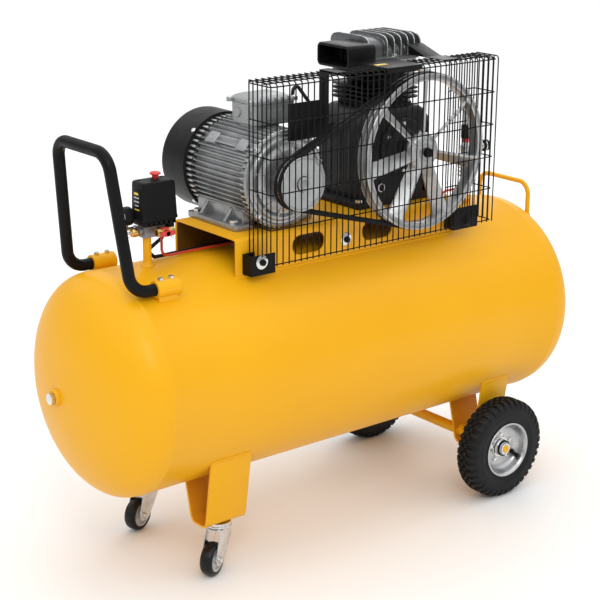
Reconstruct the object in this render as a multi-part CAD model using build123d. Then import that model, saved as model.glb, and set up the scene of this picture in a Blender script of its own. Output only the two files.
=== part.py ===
from build123d import *
import math
import os

# A belt-driven reciprocating air compressor on a horizontal air tank.
# Millimetres. X runs along the tank, -Y is the side with the belt guard, Z is up.
# The origin is on the floor, under the middle of the tank.

# ---- driving dimensions -------------------------------------------------------
TANK_R = 254.0              # outside radius of the tank
TANK_WALL = 4.0
BARREL_LEN = 1180.0         # cylindrical part of the tank
END_DEPTH = 115.0           # depth of each dished end
TANK_Z = 445.0              # height of the tank's axis

DECK_X0, DECK_X1 = -324.0, 340.0
DECK_HALF = 118.0           # half the width of the inverted channel
DECK_TOP = 757.0
SHEET = 4.0                 # sheet of the deck

BELT_Y = -156.0             # middle plane of pulley, belts and flywheel
PULLEY_WIDTH = 32.0
GROOVE_STEP = 15.0          # distance between the two grooves
GROOVE_WIDTH = 11.0
GROOVE_DEPTH = 10.0
BELT_WIDTH = 10.0
BELT_THICK = 8.0

FLY_R = 185.0
FLY_HUB_R = 45.0
CRANK_X, CRANK_Z = 190.0, 896.0
CRANK_SHAFT_R = 15.0
CRANK_PIN_R = 12.0
CRANK_THROW = 24.0
BLADES = 7

PULLEY_R = 63.0
MOTOR_X, MOTOR_Z = -176.0, 871.0
MOTOR_R = 113.0             # over the cooling fins
MOTOR_CORE_R = 101.0        # under the cooling fins
MOTOR_FIN_PITCH = 12.0
MOTOR_FIN = 4.0             # thickness of a cooling fin
STATOR_R, STATOR_BORE = 92.0, 64.0
MOTOR_SHAFT_R = 14.0
FAN_COVER_R = 118.0
FAN_COVER = (124.0, 222.0)  # y0, y1
FOOT = 14.0                 # thickness of the feet of motor and crankcase

CASE = (85.0, 295.0, -85.0, 115.0)       # crankcase x0, x1, y0, y1
CASE_TOP = 985.0
BLOCK = (105.0, 275.0, -60.0, 90.0)      # cooling fins of the cylinder block
BLOCK_TOP = 1092.0
HEAD_TOP = 1158.0
BORE_R = 30.0
BORE_PITCH = 70.0

GUARD = (-290.0, 390.0, -200.0, -120.0)  # belt guard x0, x1, y0, y1
GUARD_Z0, GUARD_Z1 = 706.0, 1108.0
WIRE = 3.0
WIRE_PITCH = 17.0

WHEEL_X, WHEEL_Y, WHEEL_R = 401.0, 246.0, 127.0
TYRE_WIDTH = 66.0
RIM_R = 62.0
AXLE_R = 10.0
HUB_HALF = 20.0             # from the wheel's middle to the outer end of its hub
HUB_INNER = 32.0            # and to the inner end

CASTER_X, CASTER_Y = -400.0, 150.0
CASTER_R = 39.0
CASTER_WIDTH = 30.0
CASTER_TRAIL = 36.0
CASTER_TOP = 120.0          # underside of the foot

HANDLE_R = 13.5
HANDLE_Y = 128.0
HANDLE_Z = 686.0

PIPE_X = -478.0             # standpipe of the pressure switch
FITTING_Z = 779.0           # axis of the fittings on the switch manifold
OUTLET_R = 5.9              # minor radius of a quarter inch pipe thread
RUN = 0.05                  # radial clearance of a running fit
GAP = 0.3                   # clearance between other curved faces

parts = {}


# ---- small helpers ------------------------------------------------------------
def block(x0, x1, y0, y1, z0, z1):
    return Pos((x0 + x1) / 2, (y0 + y1) / 2, (z0 + z1) / 2) * Box(x1 - x0, y1 - y0, z1 - z0)


def cyl_x(r, x0, x1, y, z):
    return Pos((x0 + x1) / 2, y, z) * Rot(0, 90, 0) * Cylinder(r, x1 - x0)


def cyl_y(r, y0, y1, x, z):
    return Pos(x, (y0 + y1) / 2, z) * Rot(90, 0, 0) * Cylinder(r, y1 - y0)


def cyl_z(r, z0, z1, x, y):
    return Pos(x, y, (z0 + z1) / 2) * Cylinder(r, z1 - z0)


def ring_y(r_out, r_in, y0, y1, x, z):
    return cyl_y(r_out, y0, y1, x, z) - cyl_y(r_in, y0 - 1, y1 + 1, x, z)


def turned_y(points, x, z):
    """Turn an outline of (radius, y) points about the line x, z along Y."""
    outline = make_face(Polyline([(r, y) for r, y in points], close=True))
    body = revolve(outline, axis=Axis.Y)
    return Pos(x, 0, z) * body


def rod(points, radius, fillets):
    """A round rod along straight runs joined by arcs."""
    path = FilletPolyline(*points, radius=fillets)
    section = Plane(origin=path @ 0, z_dir=path % 0) * Circle(radius)
    return sweep(section, path=path)


def hex_bolt(across, head, shank_r, length):
    """Head on +Z with its underside at z = 0, shank downwards."""
    top = extrude(RegularPolygon(across / 2, 6, major_radius=False), head)
    return top + Pos(0, 0, -length / 2) * Cylinder(shank_r, length)


def add(node, *shapes):
    """Put separate solids into a node; pieces alike share one."""
    parts.setdefault(node, []).extend(shapes)


def grille(plane, width, height, columns, rows, bar=WIRE):
    """A flat field of crossing bars, centred on the plane."""
    step_x = (width - bar) / columns
    step_y = (height - bar) / rows
    holes = []
    for i in range(columns):
        for j in range(rows):
            x = -width / 2 + bar / 2 + step_x * (i + 0.5)
            y = -height / 2 + bar / 2 + step_y * (j + 0.5)
            hole = Polyline(
                (x - step_x / 2 + bar / 2, y - step_y / 2 + bar / 2),
                (x + step_x / 2 - bar / 2, y - step_y / 2 + bar / 2),
                (x + step_x / 2 - bar / 2, y + step_y / 2 - bar / 2),
                (x - step_x / 2 + bar / 2, y + step_y / 2 - bar / 2),
                close=True,
            )
            holes.append(Wire(hole.edges()))
    rim = Wire.make_rect(width, height)
    return plane * extrude(Face(rim, holes), bar / 2, both=True)


# ---- air tank -----------------------------------------------------------------
def dished(side, radius, depth):
    """A solid half ellipsoid that closes one end of the tank."""
    arc = EllipticalCenterArc((0, 0), depth, radius, start_angle=0, arc_size=90)
    outline = arc + Line((0, radius), (0, 0)) + Line((0, 0), (depth, 0))
    turned = revolve(make_face(outline.edges()), axis=Axis.X)
    if side < 0:
        turned = mirror(turned, about=Plane.YZ)
    return Pos(side * BARREL_LEN / 2, 0, TANK_Z) * turned


def dished_shell(side):
    """The sheet of one tank end, between two half ellipses with a small flat at the nose."""
    flat_angle = 1.0
    span = 90 - flat_angle
    outer = EllipticalCenterArc((0, 0), END_DEPTH, TANK_R, start_angle=flat_angle, arc_size=span)
    inner = EllipticalCenterArc(
        (0, 0), END_DEPTH - TANK_WALL, TANK_R - TANK_WALL, start_angle=flat_angle, arc_size=span)
    nose_out = ((outer @ 0).X, 0)
    nose_in = ((inner @ 0).X, 0)
    outline = [outer, Line(outer @ 1, inner @ 1), inner, Line(inner @ 0, nose_in)]
    outline += [Line(nose_in, nose_out), Line(nose_out, outer @ 0)]
    turned = revolve(make_face(outline), axis=Axis.X)
    if side < 0:
        turned = mirror(turned, about=Plane.YZ)
    return Pos(side * BARREL_LEN / 2, 0, TANK_Z) * turned


def make_tank():
    half = BARREL_LEN / 2
    bore = cyl_x(TANK_R - TANK_WALL, -half - 1, half + 1, 0, TANK_Z)
    bore += cyl_z(12, TANK_Z - TANK_R - 10, TANK_Z - TANK_R + 20, 0, 0)
    add("tank_barrel", cyl_x(TANK_R, -half, half, 0, TANK_Z) - bore)
    for side in (-1, 1):
        shell = dished_shell(side)
        port_y = 28.0 if side < 0 else 0.0
        port_z = TANK_Z - 12
        reach = half + END_DEPTH
        ends = sorted((side * (reach - 14), side * (reach + 8)))
        shell -= cyl_x(19, ends[0] - 20, ends[1] + 20, port_y, port_z)
        socket = cyl_x(19, *ends, port_y, port_z) - cyl_x(12, ends[0] - 1, ends[1] + 1, port_y, port_z)
        add("tank_ends", socket)
        add("tank_ends", shell)
        turn = Rot(0, side * 90, 0)
        add("tank_plugs", Pos(side * (reach + 8), port_y, port_z) * turn * hex_bolt(24, 9, 12, 20))
    low = TANK_Z - TANK_R
    add("tank_plugs", Pos(0, 0, low - 4) * Rot(180, 0, 0) * hex_bolt(24, 10, 12, 10))


# ---- deck and feet ------------------------------------------------------------
def make_deck():
    outer = block(DECK_X0, DECK_X1, -DECK_HALF, DECK_HALF, 640, DECK_TOP)
    inner = block(DECK_X0 - 1, DECK_X1 + 1, SHEET - DECK_HALF, DECK_HALF - SHEET, 600, DECK_TOP - SHEET)
    deck = outer - inner
    deck -= cyl_x(TANK_R, DECK_X0 - 1, DECK_X1 + 1, 0, TANK_Z)
    for x in (-118.0, 90.0):
        for side in (-1, 1):
            slot = extrude(SlotOverall(94, 46), 12, both=True)
            deck -= Pos(x, side * DECK_HALF, 716) * Rot(90, 0, 0) * slot
    deck -= cyl_z(8, 700, 800, -18, 62)
    add("mounting_deck", deck)
    grommet = cyl_z(11, DECK_TOP, DECK_TOP + 3, -18, 62) + cyl_z(7.9, DECK_TOP - SHEET, DECK_TOP, -18, 62)
    add("cable_glands", grommet - cyl_z(4.6, 700, 800, -18, 62))


def bent_foot(x0, x1, side, bottom, top_out, low_out, low_in, top_in):
    """A strip bent to a U, open along X, and trimmed to the tank it is welded to."""
    thick = 5.0
    outline = Polyline((top_out, 320), (low_out, bottom), (low_in, bottom), (top_in, 260))
    strip = offset(outline, amount=thick / 2, side=Side.BOTH)
    foot = Plane.YZ * extrude(make_face(strip.edges()), x1 - x0)
    foot = Pos(x0, 0, 0) * foot
    if side > 0:
        foot = mirror(foot, about=Plane.XZ)
    return foot - cyl_x(TANK_R, x0 - 5, x1 + 5, 0, TANK_Z)


def make_feet():
    for side in (-1, 1):
        foot = bent_foot(-455, -345, side, CASTER_TOP + 2.5, -204, -175, -122, -88)
        foot -= cyl_z(6.2, 100, 140, CASTER_X, side * CASTER_Y)
        add("caster_feet", foot)
        leg = bent_foot(378, 470, side, 104, -204, -172, -112, -74)
        span = sorted((side * 60, side * 215))
        leg -= cyl_y(13.6, *span, WHEEL_X, WHEEL_R)
        add("wheel_legs", leg)


def make_axle():
    end = WHEEL_Y + HUB_HALF
    axle = cyl_y(13.5, -200, 200, WHEEL_X, WHEEL_R) + cyl_y(AXLE_R, -end - 6, end + 6, WHEEL_X, WHEEL_R)
    add("axle", axle)
    for side in (-1, 1):
        span = sorted((side * (end + 1.5), side * (end + 4)))
        add("axle", ring_y(15, AXLE_R, *span, WHEEL_X, WHEEL_R))


def make_wheel(side, name):
    y = side * WHEEL_Y
    half = TYRE_WIDTH / 2
    tyre = turned_y(
        [(RIM_R, -24), (RIM_R + 14, -half + 3), (WHEEL_R - 22, -half), (WHEEL_R - 7, -half + 5),
         (WHEEL_R, -half + 15), (WHEEL_R, half - 15), (WHEEL_R - 7, half - 5), (WHEEL_R - 22, half),
         (RIM_R + 14, half - 3), (RIM_R, 24)],
        WHEEL_X, WHEEL_R)
    add(f"tyre_{name}", Pos(0, y, 0) * tyre)
    rim = ring_y(RIM_R, RIM_R - 3, -26, 26, WHEEL_X, WHEEL_R)
    rim += ring_y(RIM_R - 2, 22, -3, 3, WHEEL_X, WHEEL_R)
    for k in range(5):
        angle = math.radians(72 * k + 20)
        rim -= cyl_y(3.2, -5, 5, WHEEL_X + 34 * math.cos(angle), WHEEL_R + 34 * math.sin(angle))
    rim += cyl_y(22, -HUB_INNER, HUB_HALF, WHEEL_X, WHEEL_R)
    rim -= cyl_y(AXLE_R + RUN, -HUB_INNER - 1, HUB_HALF + 1, WHEEL_X, WHEEL_R)
    if side < 0:
        rim = mirror(rim, about=Plane.XZ)
    add(f"rim_{name}", Pos(0, y, 0) * rim)
    for k in range(5):
        angle = math.radians(72 * k + 20)
        x = WHEEL_X + 34 * math.cos(angle)
        z = WHEEL_R + 34 * math.sin(angle)
        turn = Rot(90, 0, 0) if side < 0 else Rot(-90, 0, 0)
        add(f"rim_{name}", Pos(x, y + side * 3, z) * turn * hex_bolt(10, 4, 3.1, 10))


def make_caster(side, name, swivel_deg):
    """A swivel caster whose wheel trails towards -X, turned by swivel_deg about Z."""
    x, y = CASTER_X, side * CASTER_Y
    turn = Pos(x, y, 0) * Rot(0, 0, swivel_deg)
    race_z = CASTER_TOP - 14
    mount = cyl_z(28, CASTER_TOP - 6, CASTER_TOP, x, y) + cyl_z(6, race_z - 9, CASTER_TOP + 20, x, y)
    mount += cyl_z(10, CASTER_TOP + 5, CASTER_TOP + 13, x, y)
    mount += cyl_z(9, race_z - 12, race_z - 6, x, y)
    add("caster_mounts", mount)
    crown = cyl_z(29, race_z, CASTER_TOP - 6 - GAP, 0, 0)
    cheeks = []
    for s in (-1, 1):
        yy = s * (CASTER_WIDTH / 2 + 3)
        lobe = make_face(Polyline(
            (-29, race_z + 4), (24, race_z + 4), (20, 82), (-18, 28),
            (-CASTER_TRAIL - 12, 28), (-CASTER_TRAIL - 14, 50), (-38, 84), close=True))
        plate = Plane.XZ * extrude(lobe, 1.25, both=True)
        cheeks.append(Pos(0, yy, 0) * plate)
    bridge = block(-29, 24, -CASTER_WIDTH / 2 - 4.25, CASTER_WIDTH / 2 + 4.25, race_z - 4, race_z + 4)
    fork = crown + bridge + cheeks[0] + cheeks[1]
    fork -= cyl_z(6 + RUN, race_z - 12, CASTER_TOP, 0, 0)
    fork -= cyl_y(4.02, -30, 30, -CASTER_TRAIL, CASTER_R)
    add(f"caster_fork_{name}", turn * fork)
    pin = cyl_y(4, -CASTER_WIDTH / 2 - 7, CASTER_WIDTH / 2 + 7, -CASTER_TRAIL, CASTER_R)
    for s in (-1, 1):
        span = sorted((s * (CASTER_WIDTH / 2 + 4.25), s * (CASTER_WIDTH / 2 + 9)))
        pin += cyl_y(7, *span, -CASTER_TRAIL, CASTER_R)
    add(f"caster_fork_{name}", turn * pin)
    half = CASTER_WIDTH / 2
    tread = turned_y([(28, -half), (CASTER_R - 7, -half), (CASTER_R, -half + 8), (CASTER_R, half - 8),
                      (CASTER_R - 7, half), (28, half)], -CASTER_TRAIL, CASTER_R)
    add(f"caster_wheel_{name}", turn * tread)
    core = ring_y(28, 4 + RUN, -half + 2, half - 2, -CASTER_TRAIL, CASTER_R)
    add(f"caster_wheel_{name}", turn * core)


# ---- handles ------------------------------------------------------------------
def make_handles():
    inner = HANDLE_R - 2
    route = [(-490, -HANDLE_Y, HANDLE_Z), (-602, -HANDLE_Y, HANDLE_Z), (-634, -100, 985),
             (-634, 100, 985), (-602, HANDLE_Y, HANDLE_Z), (-490, HANDLE_Y, HANDLE_Z)]
    bends = [45, 42, 42, 45]
    add("push_handle", rod(route, HANDLE_R, bends) - rod(route, inner, bends))
    for side in (-1, 1):
        y = side * HANDLE_Y
        sleeve = cyl_x(19, -545, -487, y, HANDLE_Z)
        sleeve += block(-540, -492, y - 10, y + 10, 650, HANDLE_Z - 8)
        sleeve -= cyl_x(HANDLE_R + 0.1, -560, -480, y, HANDLE_Z)
        sleeve -= cyl_x(TANK_R, -600, -400, 0, TANK_Z)
        for x in (-530, -503):
            sleeve -= cyl_z(3.1, HANDLE_Z + 12, HANDLE_Z + 22, x, y)
            add("m8_screws", Pos(x, y, HANDLE_Z + 19) * hex_bolt(11, 5, 3, 5))
        add("handle_sleeves", sleeve)
    grip = rod([(632, -87, 640), (632, -87, 745), (632, 87, 745), (632, 87, 640)], 6, [30, 30])
    add("lifting_handle", grip - dished(1, TANK_R, END_DEPTH))


# ---- pressure switch and fittings ---------------------------------------------
def make_switch():
    x = PIPE_X
    top = TANK_Z + TANK_R
    pipe = cyl_z(9.5, top - 3, 765, x, 0) + Pos(x, 0, top + 3) * Cone(18, 9.5, 12)
    pipe -= cyl_z(6.5, top - 10, 770, x, 0)
    add("standpipe", pipe - cyl_x(TANK_R, x - 60, x + 60, 0, TANK_Z))
    manifold = block(x - 14, x + 40, -13, 13, 765, 792) + cyl_x(9, x - 24, x - 14, 0, FITTING_Z)
    manifold -= cyl_z(6.5, 760, 785, x, 0)
    add("switch_manifold", manifold)
    add("switch_base", block(-498, -415, -25, 25, 792, 803))
    shape = loft([Pos(-456.5, 0, 803) * RectangleRounded(89, 55, 4),
                  Pos(-458, 0, 890) * RectangleRounded(84, 50, 4)])
    hollow = loft([Pos(-456.5, 0, 802) * Rectangle(84, 50), Pos(-458, 0, 887) * Rectangle(79, 45)])
    cover = shape - hollow - cyl_z(4 + RUN, 880, 900, -453, 0)
    add("switch_cover", cover)
    knob = cyl_z(4, 872, 896, -453, 0) + cyl_z(9, 896, 901, -453, 0) + cyl_z(12.5, 901, 907, -453, 0)
    add("switch_knob", knob)
    add("cable_glands", cyl_z(11, 776, 792, -426, -11), cyl_z(9, 770, 792, -426, 16))
    valve = cyl_x(8, x - 40, x - 24, 0, FITTING_Z) + cyl_x(10.5, x - 36, x - 28, 0, FITTING_Z)
    valve += cyl_x(3, x - 50, x - 40, 0, FITTING_Z)
    add("safety_valve", valve)
    dial_z = 812.0
    gauge = cyl_x(21, x - 52, x - 28, 22, dial_z) + cyl_z(4, FITTING_Z, dial_z - 16, x - 40, 22)
    gauge += cyl_x(4, x - 40, x - 14, 22, 783)
    gauge -= cyl_x(18.5, x - 53, x - 49, 22, dial_z)
    gauge += block(x - 18, x - 12, 13, 26, 778, 788)
    add("pressure_gauge", gauge)
    body = cyl_y(8, -42, -13, -457, FITTING_Z) + cyl_x(9.5, -470, -430, -32, FITTING_Z)
    body -= cyl_x(OUTLET_R, -471, -455, -32, FITTING_Z)
    add("outlet_valve", body)
    stem = cyl_y(4, -50, -42 - GAP, -457, FITTING_Z) + block(-476, -438, -54, -50, 773, 785)
    add("outlet_valve_handle", stem)


def make_lines():
    stand_x = 486.0
    inlet_x = stand_x - 16.8
    red = [(-440, 0, 765), (-440, 0, 713), (380, 0, 713), (420, 0, 738), (inlet_x, 0, 738)]
    add("unloader_pipe", rod(red, 3, [18, 40, 20]))
    route = [(-426, 16, 770), (-426, 16, 752), (-462, 26, 724), (-440, 30, 705), (-350, 34, 705),
             (-150, 44, 705), (-32, 62, 707), (-18, 62, 730), (-18, 62, 800), (6, 50, 900),
             (4, -5, 975), (-74, -5, 1068), (-79, -5, 1014), (-94, -5, 1014)]
    bends = [10, 11, 9, 40, 60, 14, 14, 60, 60, 30, 10, 8]
    add("motor_cable", rod(route, 4.3, bends))
    valve = cyl_z(15, TANK_Z + TANK_R - 4, 722, stand_x, 0) + cyl_z(12, 722, 760, stand_x, 0)
    valve += cyl_x(6, inlet_x, stand_x, 0, 738)
    add("check_valve", valve - cyl_x(TANK_R, 400, 520, 0, TANK_Z))
    tee_z = 839.0
    relief = cyl_x(9, stand_x + 56, stand_x + 62, 0, tee_z)
    add("check_valve", relief + cyl_x(15, stand_x + 62, stand_x + 82, 0, tee_z))
    route = [(288, 40, 1060), (330, 40, 1060), (474, 20, 1000), (stand_x, 0, 930), (stand_x, 0, 760)]
    pipe = rod(route, 8, [18, 34, 40])
    pipe += block(279, 289, 26, 54, 1046, 1074)
    for k in range(6):
        pipe += cyl_z(18, 770 + 10 * k, 773 + 10 * k, stand_x, 0)
    pipe += cyl_z(13, tee_z - 9, tee_z + 9, stand_x, 0) + cyl_x(5, stand_x, stand_x + 56, 0, tee_z)
    pipe += cyl_z(12, 866, 902, stand_x, 0)
    add("discharge_pipe", pipe)


# ---- electric motor -----------------------------------------------------------
def make_motor():
    x, z = MOTOR_X, MOTOR_Z
    long = 2 * MOTOR_R + 4
    bars = Rectangle(long, MOTOR_FIN)
    for k in range(-7, 8):
        bars += Pos(0, MOTOR_FIN_PITCH * k) * Rectangle(long, MOTOR_FIN)
    for k in range(-6, 7):
        bars += Pos(MOTOR_FIN_PITCH * k, 0) * Rectangle(MOTOR_FIN, long)
    section = Circle(MOTOR_CORE_R) + (bars & Circle(MOTOR_R)) - Circle(STATOR_R)
    housing = Plane.XZ * extrude(section, 95, both=True)
    housing = Pos(x, 5, z) * housing
    add("motor_stator", ring_y(STATOR_R, STATOR_BORE, -65, 75, x, z))
    nose = turned_y([(18, -92), (18, -108), (22, -122), (30, -122), (34, -114), (66, -112),
                     (106, -102), (112, -100), (112, -90), (91.8, -90), (91.8, -84), (84, -84),
                     (84, -92)], x, z)
    tail = turned_y([(18, 101), (18, 116), (40, 116), (104, 120), (106, 132), (116.3, 132), (116.3, 124),
                     (112, 124), (112, 100), (91.8, 100), (91.8, 94), (84, 94), (84, 101)], x, z)
    add("motor_shields", nose, tail)
    for y in (-91, 87):
        add("ball_bearings", ring_y(31, MOTOR_SHAFT_R + RUN, y, y + 13, x, z))
    front, back = FAN_COVER
    cover = cyl_y(FAN_COVER_R, front, back, x, z) - cyl_y(FAN_COVER_R - 1.5, front - 1, back - 1.5, x, z)
    for k in range(4):
        radius = 34 + 18 * k
        for quarter in range(4):
            slot = ring_y(radius + 6, radius - 2, back - 7, back + 3, x, z)
            start = 90 * quarter + 8
            wedge = extrude(sector(130, start, start + 74), 12, both=True)
            wedge = Pos(x, back - 2, z) * Rot(90, 0, 0) * wedge
            cover -= slot & wedge
    add("motor_fan_cover", cover)
    add("motor_rotor", cyl_y(MOTOR_SHAFT_R, -172, 196, x, z) + cyl_y(STATOR_BORE - 0.6, -65, 75, x, z))
    fan = ring_y(30, MOTOR_SHAFT_R, 140, 190, x, z) + ring_y(70, 28, 140, 143, x, z)
    for k in range(8):
        blade = Pos(x, 0, z) * Rot(0, 45 * k, 0) * block(26, 104, 143, 185, -1.5, 1.5)
        fan += blade
    add("motor_fan", fan)
    for side in (-1, 1):
        inner, web, edge = x + side * 56, x + side * 86, x + side * 112
        rail = block(min(inner, edge), max(inner, edge), -68, 122, DECK_TOP, DECK_TOP + FOOT)
        rail += block(min(inner, web), max(inner, web), -60, 114, DECK_TOP + 10, DECK_TOP + 50)
        rail -= cyl_y(MOTOR_R, -80, 130, x, z)
        for y in (-43, 97):
            px = x + side * 99
            rail -= cyl_z(6, DECK_TOP - 1, DECK_TOP + 20, px, y)
            add("m10_bolts", Pos(px, y, DECK_TOP + FOOT) * hex_bolt(17, 8, 5, FOOT))
        housing += rail
    add("motor_housing", housing)


def sector(radius, start_deg, end_deg):
    """A pie slice, for cutting rings into arcs."""
    first = (radius * math.cos(math.radians(start_deg)), radius * math.sin(math.radians(start_deg)))
    last = (radius * math.cos(math.radians(end_deg)), radius * math.sin(math.radians(end_deg)))
    middle = math.radians((start_deg + end_deg) / 2)
    tip = (1.4 * radius * math.cos(middle), 1.4 * radius * math.sin(middle))
    return make_face(Polyline((0, 0), first, tip, last, close=True))


def make_terminal_box():
    neck = block(-212, -142, -45, 25, MOTOR_Z + 95, 985) - cyl_y(MOTOR_R, -80, 120, MOTOR_X, MOTOR_Z)
    box = block(-224, -114, -57, 35, 985, 1034) - block(-220, -118, -53, 31, 989, 1040)
    add("terminal_box", neck + box)
    middle = Pos(-169, -11, 0)
    lid = loft([
        middle * Pos(0, 0, 1034) * RectangleRounded(116, 98, 8),
        middle * Pos(0, 0, 1044) * RectangleRounded(112, 94, 8),
        middle * Pos(0, 0, 1052) * RectangleRounded(84, 68, 8),
    ], ruled=True)
    for side_x in (-1, 1):
        for side_y in (-1, 1):
            lid += middle * cyl_z(8, 1034, 1043, side_x * 62, side_y * 38)
    add("terminal_lid", lid)
    gland = cyl_x(11, -114, -104, -5, 1014) + cyl_x(8, -104, -94, -5, 1014)
    add("cable_glands", gland - cyl_x(4.3, -115, -93, -5, 1014))


def make_pulley():
    x, z = MOTOR_X, MOTOR_Z
    face = BELT_Y - PULLEY_WIDTH / 2
    pulley = ring_y(PULLEY_R, MOTOR_SHAFT_R, face, BELT_Y + PULLEY_WIDTH / 2, x, z)
    add("motor_pulley", pulley - grooves(PULLEY_R, x, z))
    nut = Pos(x, face - 2, z) * Rot(90, 0, 0) * extrude(RegularPolygon(9.5, 6, major_radius=False), 3.6)
    add("motor_pulley", cyl_y(16, face - 2, face, x, z) + nut)


def grooves(radius, x, z):
    """Two square-cut belt grooves, as rings to cut away."""
    cut = []
    for s in (-0.5, 0.5):
        y = BELT_Y + s * GROOVE_STEP
        span = (y - GROOVE_WIDTH / 2, y + GROOVE_WIDTH / 2)
        cut.append(ring_y(radius + 5, radius - GROOVE_DEPTH, *span, x, z))
    return cut


def belt_loop(drop):
    """The loop round both pulleys, drop below their rims."""
    small = Pos(MOTOR_X, MOTOR_Z) * Circle(PULLEY_R - drop)
    large = Pos(CRANK_X, CRANK_Z) * Circle(FLY_R - drop)
    return make_hull(small.edges() + large.edges())


def make_belts():
    band = belt_loop(GROOVE_DEPTH - BELT_THICK - 1) - belt_loop(GROOVE_DEPTH - 1)
    for s in (-0.5, 0.5):
        y = BELT_Y + s * GROOVE_STEP
        add("drive_belts", Pos(0, y, 0) * (Plane.XZ * extrude(band, BELT_WIDTH / 2, both=True)))


# ---- pump ---------------------------------------------------------------------
def make_flywheel():
    x, z = CRANK_X, CRANK_Z
    y0, y1 = BELT_Y - 16, BELT_Y + 16
    wheel = ring_y(FLY_R, FLY_R - 17, y0, y1, x, z) + ring_y(FLY_HUB_R, CRANK_SHAFT_R, y0 + 2, y1 + 4, x, z)
    for k in range(BLADES):
        spoke = Pos(x, BELT_Y, z) * Rot(0, 360 / BLADES * k + 3, 0) * Pos(0, 0, 100) * Rot(0, 0, 38)
        wheel += spoke * Box(34, 8, 142)
    wheel -= cyl_y(CRANK_SHAFT_R, y0 - 9, y1 + 9, x, z)
    wheel &= cyl_y(FLY_R, y0 - 9, y1 + 9, x, z)
    add("flywheel", wheel - grooves(FLY_R, x, z))
    bolt = Pos(x, y0 - 3, z) * Rot(90, 0, 0) * hex_bolt(22, 9, 6, 25)
    add("flywheel", cyl_y(24, y0 - 3, y0 + 2, x, z) + bolt)


def make_crankshaft():
    x, z = CRANK_X, CRANK_Z
    shaft = cyl_y(CRANK_SHAFT_R, BELT_Y - 14, -26, x, z) + cyl_y(CRANK_SHAFT_R, 56, 98, x, z)
    shaft += cyl_y(CRANK_PIN_R, -30, 60, x, z + CRANK_THROW)
    for y in (-36, 9, 54):
        web = make_face(make_hull((Circle(20).edges()) + (Pos(0, CRANK_THROW) * Circle(16)).edges()))
        cheek = Plane.XZ * extrude(web, 5, both=True)
        shaft += Pos(x, y + 6, z) * cheek
        lower_half = block(x - 60, x + 60, y, y + 12, z - 60, z - 8)
        shaft += ring_y(44, CRANK_PIN_R, y + 1, y + 11, x, z) & lower_half
    shaft -= cyl_y(6, BELT_Y - 40, BELT_Y + 6, x, z)
    add("crankshaft", shaft)


def make_crankcase():
    x0, x1, y0, y1 = CASE
    case = block(x0, x1, y0, y1, DECK_TOP + FOOT, CASE_TOP)
    case = fillet(case.edges().filter_by(Axis.Z), 22)
    case = chamfer(case.faces().sort_by(Axis.Z)[-1].edges(), 14)
    case += block(x0 - 24, x1 + 24, y0 + 4, y1 - 4, DECK_TOP, DECK_TOP + FOOT)
    case -= block(x0 + 9, x1 - 9, y0 + 9, y1 - 9, DECK_TOP + 22, CASE_TOP - 10)
    case -= cyl_y(52, y0 - 1, y0 + 12, CRANK_X, CRANK_Z)
    case -= cyl_y(52, y1 - 12, y1 + 1, CRANK_X, CRANK_Z)
    for y in bore_centres():
        case -= cyl_z(BORE_R + 3, CASE_TOP - 12, CASE_TOP + 1, CRANK_X, y)
    for x in (x0 - 12, x1 + 12):
        for y in (y0 + 18, y1 - 18):
            case -= cyl_z(5.5, DECK_TOP - 1, DECK_TOP + 40, x, y)
            add("m10_bolts", Pos(x, y, DECK_TOP + FOOT) * hex_bolt(17, 8, 5, FOOT))
    case -= cyl_y(9, y0 - 1, y0 + 10, x0 + 40, DECK_TOP + 48)
    case -= cyl_x(8, x0 - 1, x0 + 10, 40, CASE_TOP - 50)
    add("crankcase", case)
    x, z = CRANK_X, CRANK_Z
    add("crankcase_covers", turned_y(
        [(26, y0 + 11), (26, y0 - 6), (15 + RUN, y0 - 6), (15 + RUN, y0 - 22), (34, y0 - 22), (38, y0 - 8),
         (66, y0 - 8), (66, y0), (51.8, y0), (51.8, y0 + 11)], x, z))
    add("crankcase_covers", turned_y(
        [(26, y1 - 11), (26, y1 - 4), (0.001, y1 - 4), (0.001, y1 + 8), (66, y1 + 8), (66, y1),
         (51.8, y1), (51.8, y1 - 11)], x, z))
    for y in (y0 - 5, y1 - 20):
        add("ball_bearings", ring_y(25.9, 15 + RUN, y, y + 15, x, z))
    glass_z, filler_z = DECK_TOP + 48, CASE_TOP - 50
    add("oil_fittings", cyl_y(9, y0, y0 + 8, x0 + 40, glass_z) + cyl_y(13, y0 - 6, y0, x0 + 40, glass_z))
    add("oil_fittings", cyl_x(8, x0, x0 + 9, 40, filler_z) + cyl_x(13, x0 - 20, x0, 40, filler_z))


def bore_centres():
    middle = (BLOCK[2] + BLOCK[3]) / 2
    return (middle - BORE_PITCH / 2, middle + BORE_PITCH / 2)


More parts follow.
